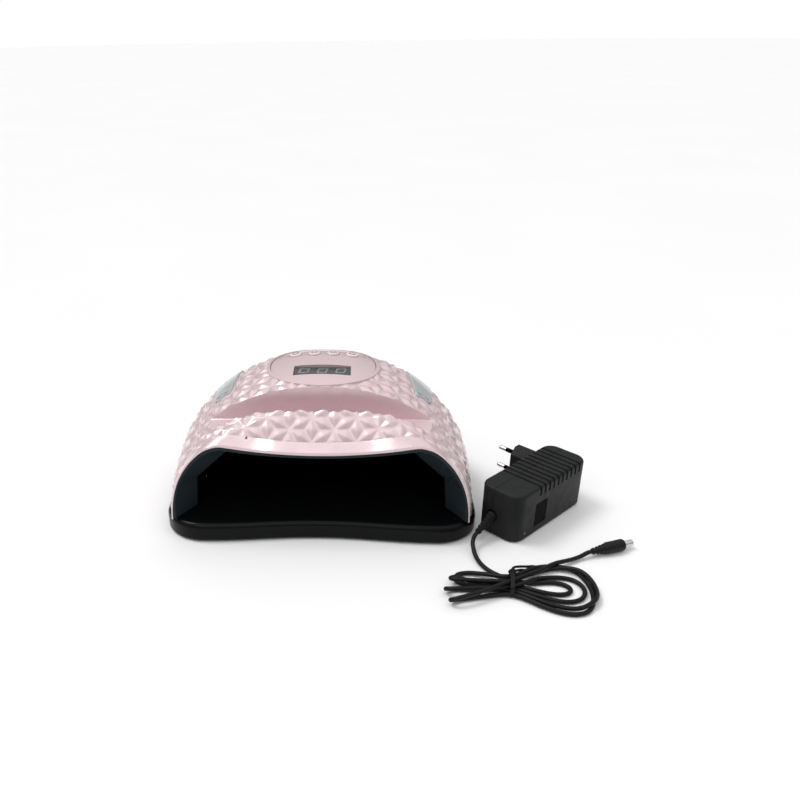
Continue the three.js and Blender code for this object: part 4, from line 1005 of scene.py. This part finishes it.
VAULT_FRONT_Y = -61
VAULT_REAR_Y = 62
VAULT_REAR_SCALE = 0.8
VAULT_HALF_FLOOR = 108
VAULT_HALF_SHOULDER = 104
VAULT_HALF_CEILING = 74
VAULT_SHOULDER_Z = 46
VAULT_CEILING_Z = 73.5
VAULT_WALL = 1.8
BOARD_FRONT, BOARD_BACK = 0.7, 2.3
LED_RADIUS = 3.2
BEZEL_DEPTH = 24
RIM_CENTRE_Z = 30
EYE_X, EYE_Z, EYE_RADIUS = 12, 24, 2.5


def vault_point(y, x, z, growth):
    share = (y - VAULT_FRONT_Y) / (VAULT_REAR_Y - VAULT_FRONT_Y)
    scale = 1 + share * (VAULT_REAR_SCALE - 1)
    return Vector((scale * x + math.copysign(growth, x), y,
                   SHELL_BASE + scale * (z - SHELL_BASE) + growth))


def vault_outline(y, growth, floor):
    right = [vault_point(y, x, z, growth) for x, z in (
        (VAULT_HALF_SHOULDER, VAULT_SHOULDER_Z), (VAULT_HALF_CEILING, VAULT_CEILING_Z))]
    foot = vault_point(y, VAULT_HALF_FLOOR, SHELL_BASE, growth)
    right.insert(0, Vector((foot.x, y, floor)))
    return right + [Vector((-point.x, y, point.z)) for point in right[::-1]]


def vault_face(start, end):
    """A frame on the outside of one flat face of the vault: X towards the rear, Z outwards."""
    a, b, c, d = (vault_point(y, x, z, VAULT_WALL)
                  for y in (VAULT_FRONT_Y, VAULT_REAR_Y) for x, z in (start, end))
    front, rear = (a + b) / 2, (c + d) / 2
    along = (rear - front).normalized()
    outwards = (b - a).cross(along).normalized()
    centre = (front + rear) / 2
    if outwards.dot(Vector((centre.x, 0, centre.z - 30))) < 0:
        outwards.negate()
    return frame_at(centre, along, outwards.cross(along), outwards)


def frame_at(centre, x_axis, y_axis, z_axis):
    turn = Matrix((x_axis, y_axis, z_axis)).transposed().to_4x4()
    return Matrix.Translation(Vector(centre)) @ turn


def led_groups():
    """Each lamp board's name, frame, columns, rows, pitches and size."""
    ceiling = (VAULT_HALF_CEILING, VAULT_CEILING_Z)
    shoulder = (VAULT_HALF_SHOULDER, VAULT_SHOULDER_Z)
    foot = (VAULT_HALF_FLOOR, SHELL_BASE)
    rear = frame_at((0, VAULT_REAR_Y, 40), Vector((1, 0, 0)), Vector((0, 0, -1)), Vector((0, 1, 0)))
    groups = [("top", vault_face((-ceiling[0], ceiling[1]), ceiling), 3, 4, (32, 30), (92, 112)),
              ("rear", rear, 4, 1, (32, 0), (118, 22))]
    for label, side in (("left", -1), ("right", 1)):
        upper, middle, lower = ((side * x, z) for x, z in (ceiling, shoulder, foot))
        groups.append((f"shoulder_{label}", vault_face(upper, middle), 4, 1, (26, 0), (98, 18)))
        groups.append((f"side_{label}", vault_face(middle, lower), 4, 1, (26, 0), (98, 14)))
    return groups


def make_hand_space():
    """The lining of the hand space, the lamp boards behind it and the sensor's eyes."""
    floor = SHELL_BASE + GAP
    vault = cut(
        layers_mesh([vault_outline(y, VAULT_WALL, floor) for y in (VAULT_FRONT_Y, VAULT_REAR_Y)]),
        layers_mesh([vault_outline(VAULT_FRONT_Y - 10, 0, -20),
                     vault_outline(VAULT_REAR_Y - VAULT_WALL, 0, -20)]))
    holes = []
    hole = LED_RADIUS + 0.5
    bead_profile = [(0, -2.0), (1.6, -1.8), (2.7, -1.1), (LED_RADIUS, -0.3), (LED_RADIUS, 1),
                    (0, 1)]
    for name, where, columns, rows, pitch, size in led_groups():
        beads = []
        for column in range(columns):
            for row in range(rows):
                x = (column - (columns - 1) / 2) * pitch[0]
                y = (row - (rows - 1) / 2) * pitch[1]
                here = where @ Matrix.Translation((x, y, 0))
                holes.append(turned([(0, -6), (hole, -6), (hole, 6), (0, 6)], 28, here))
                beads.append(turned(rounded_profile(bead_profile, 0.5, 4), 28, here))
        half_x, half_y = size[0] / 2, size[1] / 2
        board = block((-half_x, -half_y, BOARD_FRONT), (half_x, half_y, BOARD_BACK))
        board = join(moved(board, where), together(beads))
        add_piece(f"lamp_board_{name}", board, "boardWhite", "housing", f"led_board_{name}")
    sensor_back = VAULT_REAR_Y + 1
    sensor = block((-17, sensor_back, EYE_Z - 4), (17, sensor_back + 1.6, EYE_Z + 4))
    eyes = []
    for x in (-EYE_X, EYE_X):
        here = facing((x, VAULT_REAR_Y, EYE_Z), (0, 1, 0))
        rim = EYE_RADIUS + GAP
        holes.append(turned([(0, -6), (rim, -6), (rim, 6), (0, 6)], 28, here))
        eyes.append(turned([(0, -3), (1.4, -2.75), (2.2, -2.1), (EYE_RADIUS, -1.2),
                            (EYE_RADIUS, 1.4), (0, 1.4)], 28, here))
    add_piece("hand_sensor_eyes", join(sensor, together(eyes)), "smokedGlass", "housing",
              "hand_sensor")
    add_piece("vault", cut(vault, together(holes)), "blackSatin", "housing", "inner_vault")


def mouth_rim(angles, depth, inset):
    """Where rays from the middle of the opening meet the dome, some way in from its skin."""
    inside = np.zeros_like(angles)
    outside = np.full_like(angles, 2 * SHELL_HALF_WIDTH)
    for _ in range(30):
        middle = (inside + outside) / 2
        z = RIM_CENTRE_Z + middle * np.sin(angles)
        y = MOUTH_Y + depth + MOUTH_LEAN * (z - SHELL_BASE)
        x = np.abs(middle * np.cos(angles))
        within = (x < dome_half_width(y) - inset) & (z < dome_height(x, y) - inset * 1.25)
        inside = np.where(within, middle, inside)
        outside = np.where(within, outside, middle)
    z = RIM_CENTRE_Z + inside * np.sin(angles)
    y = MOUTH_Y + depth + MOUTH_LEAN * (z - SHELL_BASE)
    return np.column_stack([inside * np.cos(angles), y, z])


def vault_rim(angles):
    """The same rays against the vault's own outline."""
    y = VAULT_FRONT_Y + 0.5
    outline = vault_outline(y, -0.6, -20)
    rim = []
    for angle in angles:
        direction_x, direction_z = math.cos(angle), math.sin(angle)
        best = 0
        for a, b in zip(outline, outline[1:] + outline[:1]):
            edge_x, edge_z = b.x - a.x, b.z - a.z
            cross = direction_x * edge_z - direction_z * edge_x
            if abs(cross) < 1e-9:
                continue
            along = (a.x * edge_z - (a.z - RIM_CENTRE_Z) * edge_x) / cross
            share = (a.x * direction_z - (a.z - RIM_CENTRE_Z) * direction_x) / cross
            if along > 0 and 0 <= share <= 1:
                best = max(best, along)
        rim.append((best * direction_x, y, RIM_CENTRE_Z + best * direction_z))
    return np.array(rim)


def make_bezel():
    angles = np.radians(np.linspace(-12, 192, 121))
    rims = [mouth_rim(angles, -1, BEZEL_RIM), vault_rim(angles)]
    for rim in rims:
        rim[[0, -1], 2] = -20
    mouth_end = block((-FAR, -FAR, SHELL_BASE + GAP), (FAR, VAULT_FRONT_Y - GAP, FAR))
    rim = keep(smooth_dome(LIP_OFFSET - GAP), band_prism(-LIP_INSET - GAP))
    bezel = keep(join(smooth_dome(-WALL - GAP - 0.5), rim), behind_mouth(1, BEZEL_DEPTH + 20),
                 mouth_end)
    return cut(bezel, layers_mesh(rims), slot_prism(WALL + GAP))


make_hand_space()
add_piece("bezel", largest_part(make_bezel()), "blackGloss", "housing", "front_bezel", sharp=25)

# ------------------------------------------------------------------------------ base tray

TRAY_HALF_WIDTH = 133
TRAY_TOP = 17
TRAY_BOTTOM = 2
TRAY_WALL = 2.6
TRAY_REAR_Y = 102
TRAY_MIDDLE_Y = 13
TRAY_CORNER = 35
TRAY_FRONT_Y = -93
TRAY_FRONT_HOLLOW = 6.3
TRAY_EDGE_ROUND = 5
FOOT_RADIUS = 8


def bezier(a, b, c, d, steps=24):
    t = np.linspace(0, 1, steps, endpoint=False)[1:, None]
    a, b, c, d = (np.asarray(p, float) for p in (a, b, c, d))
    return ((1 - t) ** 3 * a + 3 * t * (1 - t) ** 2 * b + 3 * t ** 2 * (1 - t) * c
            + t ** 3 * d).tolist()


def tray_outline(inset):
    width, corner = TRAY_HALF_WIDTH - inset, TRAY_CORNER - inset
    front = TRAY_FRONT_Y + inset
    corner_x, corner_y = TRAY_HALF_WIDTH - TRAY_CORNER, TRAY_FRONT_Y + TRAY_CORNER
    hollow = front + TRAY_FRONT_HOLLOW
    angles = np.linspace(0, math.pi, 72)
    outline = [(width * math.cos(a), TRAY_MIDDLE_Y
                + (TRAY_REAR_Y - inset - TRAY_MIDDLE_Y) * math.sin(a)) for a in angles]
    outline += arc((-corner_x, corner_y), corner, 180, 270, 18)
    outline += bezier((-corner_x, front), (-corner_x * 0.62, front), (-corner_x * 0.4, hollow),
                      (0, hollow))
    outline.append((0, hollow))
    outline += bezier((0, hollow), (corner_x * 0.4, hollow), (corner_x * 0.62, front),
                      (corner_x, front))
    return outline + arc((corner_x, corner_y), corner, 270, 360, 18)


def make_tray():
    rounded = TRAY_EDGE_ROUND
    rises = [(TRAY_BOTTOM, 0.5), (TRAY_BOTTOM + 0.5, 0), (TRAY_TOP - rounded - 3, 0)]
    rises += [(TRAY_TOP - rounded + rounded * math.sin(a), rounded * (1 - math.cos(a)))
              for a in np.linspace(0, math.pi / 2, 9)]
    tray = layers_mesh([[(x, y, z) for x, y in tray_outline(inset)] for z, inset in rises])
    underside = prism(tray_outline(TRAY_WALL + 2), -10, TRAY_TOP - TRAY_WALL)
    add_piece("tray", cut(tray, underside), "blackGloss", "tray", "base_tray")
    feet = {"front_left": (-98, -62), "front_right": (98, -62), "rear_left": (-86, 62),
            "rear_right": (86, 62)}
    profile = rounded_profile([(0, 0), (FOOT_RADIUS, 0), (FOOT_RADIUS, 1.7), (0, 1.7)], 0.5)
    for name, (x, y) in feet.items():
        add_piece(f"pad_{name}", turned(profile, 40, Matrix.Translation((x, y, 0))), "rubber",
                  "tray", f"foot_{name}")


make_tray()

# ------------------------------------------------------------------------------ adapter's place

ADAPTER_CENTRE = Vector((183.8, -43.1, 0))
ADAPTER_TURN = math.radians(45)
ADAPTER_SIZE = (102.0, 41.0, 45.0)
ADAPTER_FRAME = Matrix.Translation(ADAPTER_CENTRE) @ Matrix.Rotation(ADAPTER_TURN, 4, "Z")
CORD_EXIT = Vector((-50, 5, 19))
RELIEF_AXIS = (ADAPTER_FRAME.to_3x3() @ Vector((-21, -1, -7.5))).normalized()
RELIEF_ROOT = ADAPTER_FRAME @ CORD_EXIT
RELIEF_LENGTH = 22.0

# ------------------------------------------------------------------------------ power adapter

ADAPTER_CORNER = 11
ADAPTER_EDGE = 3
ADAPTER_WALL = 2.4
ADAPTER_SPLIT_Y = 5
GROOVE_PLACES = [-22 + 6.4 * place_in for place_in in range(10)]
GROOVE_WIDTH = 2.4
GROOVE_REACH = 9
GROOVE_DEPTH = 0.9
LABEL_LEFT, LABEL_RIGHT, LABEL_BOTTOM, LABEL_TOP, LABEL_GAP = -26, -9, 8, 30, 0.6
INDICATOR_X, INDICATOR_Z, INDICATOR_RADIUS = -38, 7, 1
CORD_HOLE_RADIUS = 5.2
NECK_X = 33
NECK_DEPTH = 21
PIN_SPACING = 18.4
PIN_RADIUS = 2
PIN_LENGTH = 19
PIN_SLEEVE = 10


def rounded_rectangle(half_x, half_y, radius, steps=10):
    outline = []
    for turn, (x, y) in enumerate(((1, 1), (-1, 1), (-1, -1), (1, -1))):
        centre = (x * (half_x - radius), y * (half_y - radius))
        outline += arc(centre, radius, 90 * turn, 90 * turn + 90, steps)
    return outline


def adapter_body(inset):
    """The adapter's rounded block, at a distance inside its skin."""
    length, depth, height = ADAPTER_SIZE
    rises = [(ADAPTER_EDGE * (1 - math.sin(a)), ADAPTER_EDGE * (1 - math.cos(a)))
             for a in np.linspace(math.pi / 2, 0, 8)]
    levels = [(inset + z, shrink) for z, shrink in rises]
    levels += [(height - inset - z, shrink) for z, shrink in rises[::-1]]
    layers = []
    for z, shrink in levels:
        outline = rounded_rectangle(length / 2 - inset - shrink, depth / 2 - inset - shrink,
                                    max(ADAPTER_CORNER - inset - shrink, 1))
        layers.append([(x, y, z) for x, y in outline])
    return layers_mesh(layers)


def make_adapter_case():
    length, depth, height = ADAPTER_SIZE
    core = adapter_body(GROOVE_DEPTH)
    tools = []
    for start in GROOVE_PLACES:
        middle, radius = start + GROOVE_WIDTH / 2, GROOVE_WIDTH / 2
        outline = arc((middle, height - GROOVE_REACH + radius), radius, 180, 360)
        outline += [(start + GROOVE_WIDTH, FAR), (start, FAR)]
        tools.append(layers_mesh([[(x, y, z) for x, z in outline] for y in (-FAR, FAR)]))
    label = rounded_rectangle((LABEL_RIGHT - LABEL_LEFT) / 2, (LABEL_TOP - LABEL_BOTTOM) / 2, 1.5)
    middle_x, middle_z = (LABEL_LEFT + LABEL_RIGHT) / 2, (LABEL_BOTTOM + LABEL_TOP) / 2
    tools.append(layers_mesh([[(x + middle_x, y, z + middle_z) for x, z in label]
                              for y in (-FAR, 0)]))
    body = cut(adapter_body(0), cut(together(tools), core), adapter_body(ADAPTER_WALL))
    rim = INDICATOR_RADIUS + GAP
    lamp_hole = turned([(0, -FAR), (rim, -FAR), (rim, 0), (0, 0)], 32, facing(
        (INDICATOR_X, -depth / 2 + ADAPTER_WALL + GAP, INDICATOR_Z), (0, 1, 0)))
    cord_hole = turned([(0, 0), (CORD_HOLE_RADIUS, 0), (CORD_HOLE_RADIUS, FAR), (0, FAR)], 40,
                       facing((ADAPTER_CORNER - length / 2, CORD_EXIT.y, CORD_EXIT.z), (-1, 0, 0)))
    body = cut(body, lamp_hole, cord_hole)
    split = ADAPTER_SPLIT_Y
    halves = {"front": block((-FAR, -FAR, -10), (FAR, split - GAP / 2, FAR)),
              "rear": block((-FAR, split + GAP / 2, -10), (FAR, FAR, FAR))}
    for name, half in halves.items():
        piece = moved(keep(body, half), ADAPTER_FRAME)
        add_piece(f"adapter_{name}", piece, "blackMatte", "tray", f"adapter_case_{name}", sharp=40)
    plate = rounded_rectangle((LABEL_RIGHT - LABEL_LEFT) / 2 - LABEL_GAP,
                              (LABEL_TOP - LABEL_BOTTOM) / 2 - LABEL_GAP, 1.1)
    plate = layers_mesh([[(x + middle_x, y, z + middle_z) for x, z in plate]
                         for y in (0.1 - depth / 2, GROOVE_DEPTH - GAP - depth / 2)])
    add_piece("adapter_plate", moved(plate, ADAPTER_FRAME), "blackSatin", "tray",
              "adapter_label_plate")


def make_adapter_plug():
    """The two half-sleeved pins of the mains plug, set out past its neck, and the adapter's
    indicator lens.
    """
    start = ADAPTER_SIZE[1] / 2 + GAP
    end = start + NECK_DEPTH
    middle_z = ADAPTER_SIZE[2] / 2
    pin_start = end + GAP + PIN_SLEEVE + GAP
    pin_end = end + PIN_LENGTH
    sleeve = [(0, end + GAP), (PIN_RADIUS, end + GAP), (PIN_RADIUS, end + GAP + PIN_SLEEVE),
              (0, end + GAP + PIN_SLEEVE)]
    pin = [(0, pin_start), (PIN_RADIUS, pin_start), (PIN_RADIUS, pin_end - 1.4),
           (1.2, pin_end - 0.2), (0, pin_end)]
    for number, side in enumerate((-1, 1), 1):
        here = ADAPTER_FRAME @ facing((NECK_X, 0, middle_z + side * PIN_SPACING / 2), (0, 1, 0))
        add_piece(f"mains_sleeve_{number}", turned(rounded_profile(sleeve, 0.2), 40, here),
                  "blackSatin", "tray", f"pin_sleeve_{number}")
        add_piece(f"mains_pin_{number}", turned(rounded_profile(pin, 0.5), 40, here), "nickel",
                  "tray", f"pin_{number}")
    lens = [(0, 0), (INDICATOR_RADIUS, 0), (INDICATOR_RADIUS, 2.1), (0, 2.4)]
    here = ADAPTER_FRAME @ facing((INDICATOR_X, 2.2 - ADAPTER_SIZE[1] / 2, INDICATOR_Z), (0, -1, 0))
    add_piece("indicator_lens", turned(rounded_profile(lens, 0.25), 28, here), "indicatorGreen",
              "tray", "adapter_indicator")


make_adapter_case()
make_adapter_plug()

# ------------------------------------------------------------------------------ low-voltage lead

CORD_RADIUS = 1.8
FLOOR_Z = CORD_RADIUS + 0.1
TIE_X = 150.0
PLUG_ANGLE = math.radians(20.6)
PLUG_START = np.array([221.2, -106.5, 5.1])
PLUG_DIRECTION = np.array([math.cos(PLUG_ANGLE), math.sin(PLUG_ANGLE), 0])
HELD_POINTS = 8


def lobe(from_pass, to_pass, end_x, tilt, spread, lift=0.0):
    """One rounded loop of the hank, from one pass under the tie out to end_x and back to another."""
    reach = end_x - TIE_X
    points = []
    for angle in np.linspace(0, math.pi, 15):
        share = angle / math.pi
        y = (1 - share) * from_pass[0] + share * to_pass[0]
        z = (1 - share) * from_pass[1] + share * to_pass[1]
        out = math.sin(angle)
        z += (FLOOR_Z - z) * min(1, 1.6 * out) + lift * out
        y += tilt * out + spread * math.sin(2 * angle)
        points.append((TIE_X + reach * out, y, z))
    return points


def fold(from_pass, to_pass, end_x, low_y, slope=(-8.7, 6.6)):
    """One tight fold of the hank, in a leaning plane: out along the floor and back above it."""
    radius = math.hypot(*slope) / 2
    sideways = np.array([0, *slope]) / (2 * radius)
    low_end = np.array([end_x + radius, low_y, FLOOR_Z])
    centre = low_end + sideways * radius
    high_end = low_end + sideways * 2 * radius
    start = np.array([TIE_X, *from_pass])
    finish = np.array([TIE_X, *to_pass])
    points = [start + (low_end - start) * share for share in (0, 0.25, 0.55, 0.85)]
    for angle in np.linspace(0.12, 0.88, 6) * math.pi:
        along = np.array([-math.sin(angle), 0, 0])
        points.append(centre + radius * (along - math.cos(angle) * sideways))
    points += [high_end + (finish - high_end) * share for share in (0.15, 0.45, 0.75, 1)]
    return [tuple(point) for point in points]


def settled(line, rounds=70):
    """Pushes turns apart where they lie in each other, keeps the line smooth and off the floor."""
    line = line.copy()
    count = len(line)
    step = np.linalg.norm(line[1] - line[0])
    apart = np.abs(np.subtract.outer(np.arange(count), np.arange(count))) * step > 6 * CORD_RADIUS
    free = np.ones(count, bool)
    free[:HELD_POINTS] = False
    free[count - HELD_POINTS:] = False
    for _ in range(rounds):
        offset = line[:, None, :] - line[None, :, :]
        distance = np.linalg.norm(offset, axis=2) + 1e-9
        overlap = np.where(apart, np.clip(2.04 * CORD_RADIUS - distance, 0, None), 0)
        near = np.maximum((overlap > 0).sum(1), 1)
        push = ((overlap / distance)[..., None] * offset).sum(1) / near[:, None]
        line[free] += 0.5 * push[free]
        bend = np.zeros_like(line)
        bend[1:-1] = line[:-2] + line[2:] - 2 * line[1:-1]
        line[free] += 0.2 * bend[free]
        line[:, 2] = np.maximum(line[:, 2], FLOOR_Z)
    for _ in range(4):
        line[1:-1] = (line[:-2] + 2 * line[1:-1] + line[2:]) / 4
    return resampled(line, 1.3)


def cord_route():
    """The lead's centreline: strain relief, hank under its tie, and the free end with the plug."""
    tip = np.array(RELIEF_ROOT + RELIEF_AXIS * RELIEF_LENGTH)
    axis = np.array(RELIEF_AXIS)
    lead = [tip, tip + 4 * axis, (126.0, -99.5, 7.2), (125.8, -106.5, 3.4), (127.3, -114, FLOOR_Z),
            (130, -121.5, FLOOR_Z), (134.6, -130, FLOOR_Z), (141.2, -136, 2.2)]
    # Places of the nine passes under the tie, as (y, z), from the back of the bundle to the front.
    low = [(y, 2.5) for y in (-142.2, -146.2, -150.2, -154.2, -158.0)]
    high = [(y, 6.1) for y in (-144.4, -150.2, -155.4)]
    over = (-151.5, 9.4)
    route = lead
    route += lobe(low[0], low[3], 213.4, -5.0, 23.5, lift=1.9)
    route += fold(low[3], high[2], 94.6, -153.2)[1:]
    route += lobe(high[2], low[2], 206.8, 0.5, 17.5)[1:]
    route += fold(low[2], high[1], 99.6, -140.8)[1:]
    route += lobe(high[1], low[1], 198.4, -4.5, 9.5)[1:]
    route += lobe(low[1], high[0], 104.8, 6.0, -8.8)[1:]
    route += lobe(high[0], low[4], 211.2, -2.0, 27.0)[1:]
    route += fold(low[4], over, 97.2, -167.0)[1:-2]
    route += [(126, -164.5, 8.6), (138, -158.3, 9.2), (TIE_X, -151.5, 9.4), (161, -144, 9.0),
              (172, -136.5, 6.8), (182, -128.5, 5.8), (192, -121.8, 4.2), (203, -115.5, 2.6),
              (212, -110.6, 3.2)]
    route += [PLUG_START - 4 * PLUG_DIRECTION, PLUG_START + 0.5 * PLUG_DIRECTION]
    return settled(smooth_line(route, 1.6))


def make_cord():
    line = place(cord_route())
    curve = bpy.data.curves.new("power_lead", "CURVE")
    curve.dimensions = "3D"
    spline = curve.splines.new("POLY")
    spline.points.add(len(line) - 1)
    spline.points.foreach_set("co", np.column_stack([line, np.ones(len(line))]).ravel())
    curve.bevel_depth = CORD_RADIUS * MM
    curve.bevel_resolution = 4
    curve.use_fill_caps = True
    curve.materials.append(materials["cordBlack"])
    cord = bpy.data.objects.new("power_lead", curve)
    bpy.context.scene.collection.objects.link(cord)
    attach(cord, "tray")
    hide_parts("cord_lead", "cord_hank", "cord_tail")
    return cord


def ribbed_sleeve(length, start_radius, end_radius, rings, depth=0.8, ring_gap=1.0):
    """A flexible sleeve's (radius, height) profile, with ring grooves and a taper."""
    profile = [(0, 0), (start_radius, 0)]
    pitch = length / (rings + 1)
    for ring in range(1, rings + 1):
        radius = start_radius + (end_radius - start_radius) * ring / (rings + 1)
        at = ring * pitch
        profile += [(radius, at - ring_gap), (radius - depth, at - 0.6 * ring_gap),
                    (radius - depth, at + 0.6 * ring_gap), (radius, at + ring_gap)]
    return profile + [(end_radius, length), (0, length)]


def tube(line, radius, sides=12):
    """A closed round tube along a line of points."""
    line = np.asarray(line, float)
    ahead = np.gradient(line, axis=0)
    ahead /= np.linalg.norm(ahead, axis=1)[:, None]
    side = np.cross(ahead, (0, 0, 1.0))
    side /= np.linalg.norm(side, axis=1)[:, None] + 1e-9
    above = np.cross(side, ahead)
    layers = []
    for point, across, up in zip(line, side, above):
        angles = np.linspace(0, 2 * math.pi, sides, endpoint=False)
        around = np.outer(np.cos(angles), up) + np.outer(np.sin(angles), across)
        layers.append(point + radius * around)
    return layers_mesh(layers)


def make_tie():
    """A flat plastic band round the bundle, with its twisted ends in a small loop beside it."""
    centre_y, centre_z = -149.9, 6.0
    half_y, half_z = 11.6, 5.7
    outline = []
    for angle in np.linspace(0, 2 * math.pi, 72, endpoint=False):
        c, s = math.cos(angle), math.sin(angle)
        outline.append((centre_y + half_y * math.copysign(abs(c) ** 0.62, c),
                        centre_z + half_z * math.copysign(abs(s) ** 0.7, s)))
    outline = np.array(outline)
    middle = np.array([centre_y, centre_z])
    sections = []
    section = ((-1.7, 0), (-1.4, -0.35), (1.4, -0.35), (1.7, 0), (1.4, 0.5), (-1.4, 0.5))
    for across, inwards in section:
        shrunk = middle + (outline - middle) * (1 - inwards / np.linalg.norm(
            outline - middle, axis=1, keepdims=True))
        lean = 0.12 * (shrunk[:, 0] - centre_y)
        sections.append(np.column_stack([TIE_X + across + lean, shrunk]))
    count = len(outline)
    faces = []
    for k in range(6):
        a, b = k * count, ((k + 1) % 6) * count
        for i in range(count):
            j = (i + 1) % count
            faces.append((a + i, b + i, b + j, a + j))
    band = mesh_of(np.vstack(sections), faces)
    loop = [(151, -139.5, 8.6), (153.5, -135.5, 9.6), (158.5, -132.0, 8.0), (165, -127.8, 5.0),
            (171.5, -124.6, 3.0), (174.8, -125.4, 2.2), (172.2, -128.6, 2.4), (165.5, -131.8, 4.2),
            (159, -135.5, 7.4), (154.0, -139.0, 9.0)]
    ends = tube(smooth_line(loop, 1.2), 1.0)
    knot = tube(smooth_line([(149.4, -141.4, 9.6), (150.8, -139.3, 9.4), (152.4, -138.4, 9.2),
                             (153.8, -139.6, 9.3), (152.6, -141.2, 9.8)], 0.7), 1.35)
    return join(join(band, ends), knot)


def make_lead():
    cord = make_cord()
    relief = rounded_profile(ribbed_sleeve(RELIEF_LENGTH, 4.4, 2.5, 5), 0.5)
    relief_piece = add_piece("lead_relief", turned(relief, 40, facing(RELIEF_ROOT, RELIEF_AXIS)),
                             "rubber", "tray", "cord_relief")
    tie_piece = add_piece("lead_tie", make_tie(), "cordBlack", "tray", "cord_tie")
    sleeve = [(radius, 13 - height) for radius, height in ribbed_sleeve(13, 4.5, 2.4, 3)][::-1]
    body = sleeve[:-1] + [(5.0, 14.2), (5.0, 28.6), (4.2, 30.0), (0, 30.0)]
    plug = turned(rounded_profile(body, 0.5), 40, facing(PLUG_START, PLUG_DIRECTION))
    plug_piece = add_piece("plug_body", plug, "cordBlack", "tray", "dc_plug_body")
    barrel_root = PLUG_START + 30.0 * PLUG_DIRECTION
    barrel = turned(rounded_profile([(0, 0.0), (2.75, 0.0), (2.75, 8.2), (1.75, 8.2), (1.75, 2.0),
                                     (0, 2.0)], 0.25), 40, facing(barrel_root, PLUG_DIRECTION))
    barrel_piece = add_piece("plug_barrel", barrel, "nickel", "tray", "dc_plug_barrel")
    sleeve_in = turned(rounded_profile([(0, 2.1), (1.6, 2.1), (1.6, 7.8), (0.8, 7.8), (0.8, 3.0),
                                        (0, 3.0)], 0.15), 32, facing(barrel_root, PLUG_DIRECTION))
    insulator = add_piece("plug_insulator", sleeve_in, "blackSatin", "tray", "dc_plug_insulator")


make_lead()

# ------------------------------------------------------------------------------ CAD nodes that stay

for row in frame["record"]["subparts"]:
    node = frame["nodes"][row["node"]]
    node.data.materials.clear()
    node.data.materials.append(materials[row["material_slot"]])

BEVELLED = {"adapter_plug_neck": 0.8, "display_window": 0.3, "display_module": 0.4,
            "control_pcb": 0.2, "base_cover": 0.3, "bottom_frame": 0.4,
            "dc_jack": 0.4, "adapter_pcb": 0.2, "adapter_transformer": 0.8,
            "adapter_capacitor": 0.6}
for name, width in BEVELLED.items():
    bevel = frame["nodes"][name].modifiers.new("soft_edges", "BEVEL")
    bevel.width = width * MM
    bevel.segments = 3
    bevel.limit_method = "ANGLE"
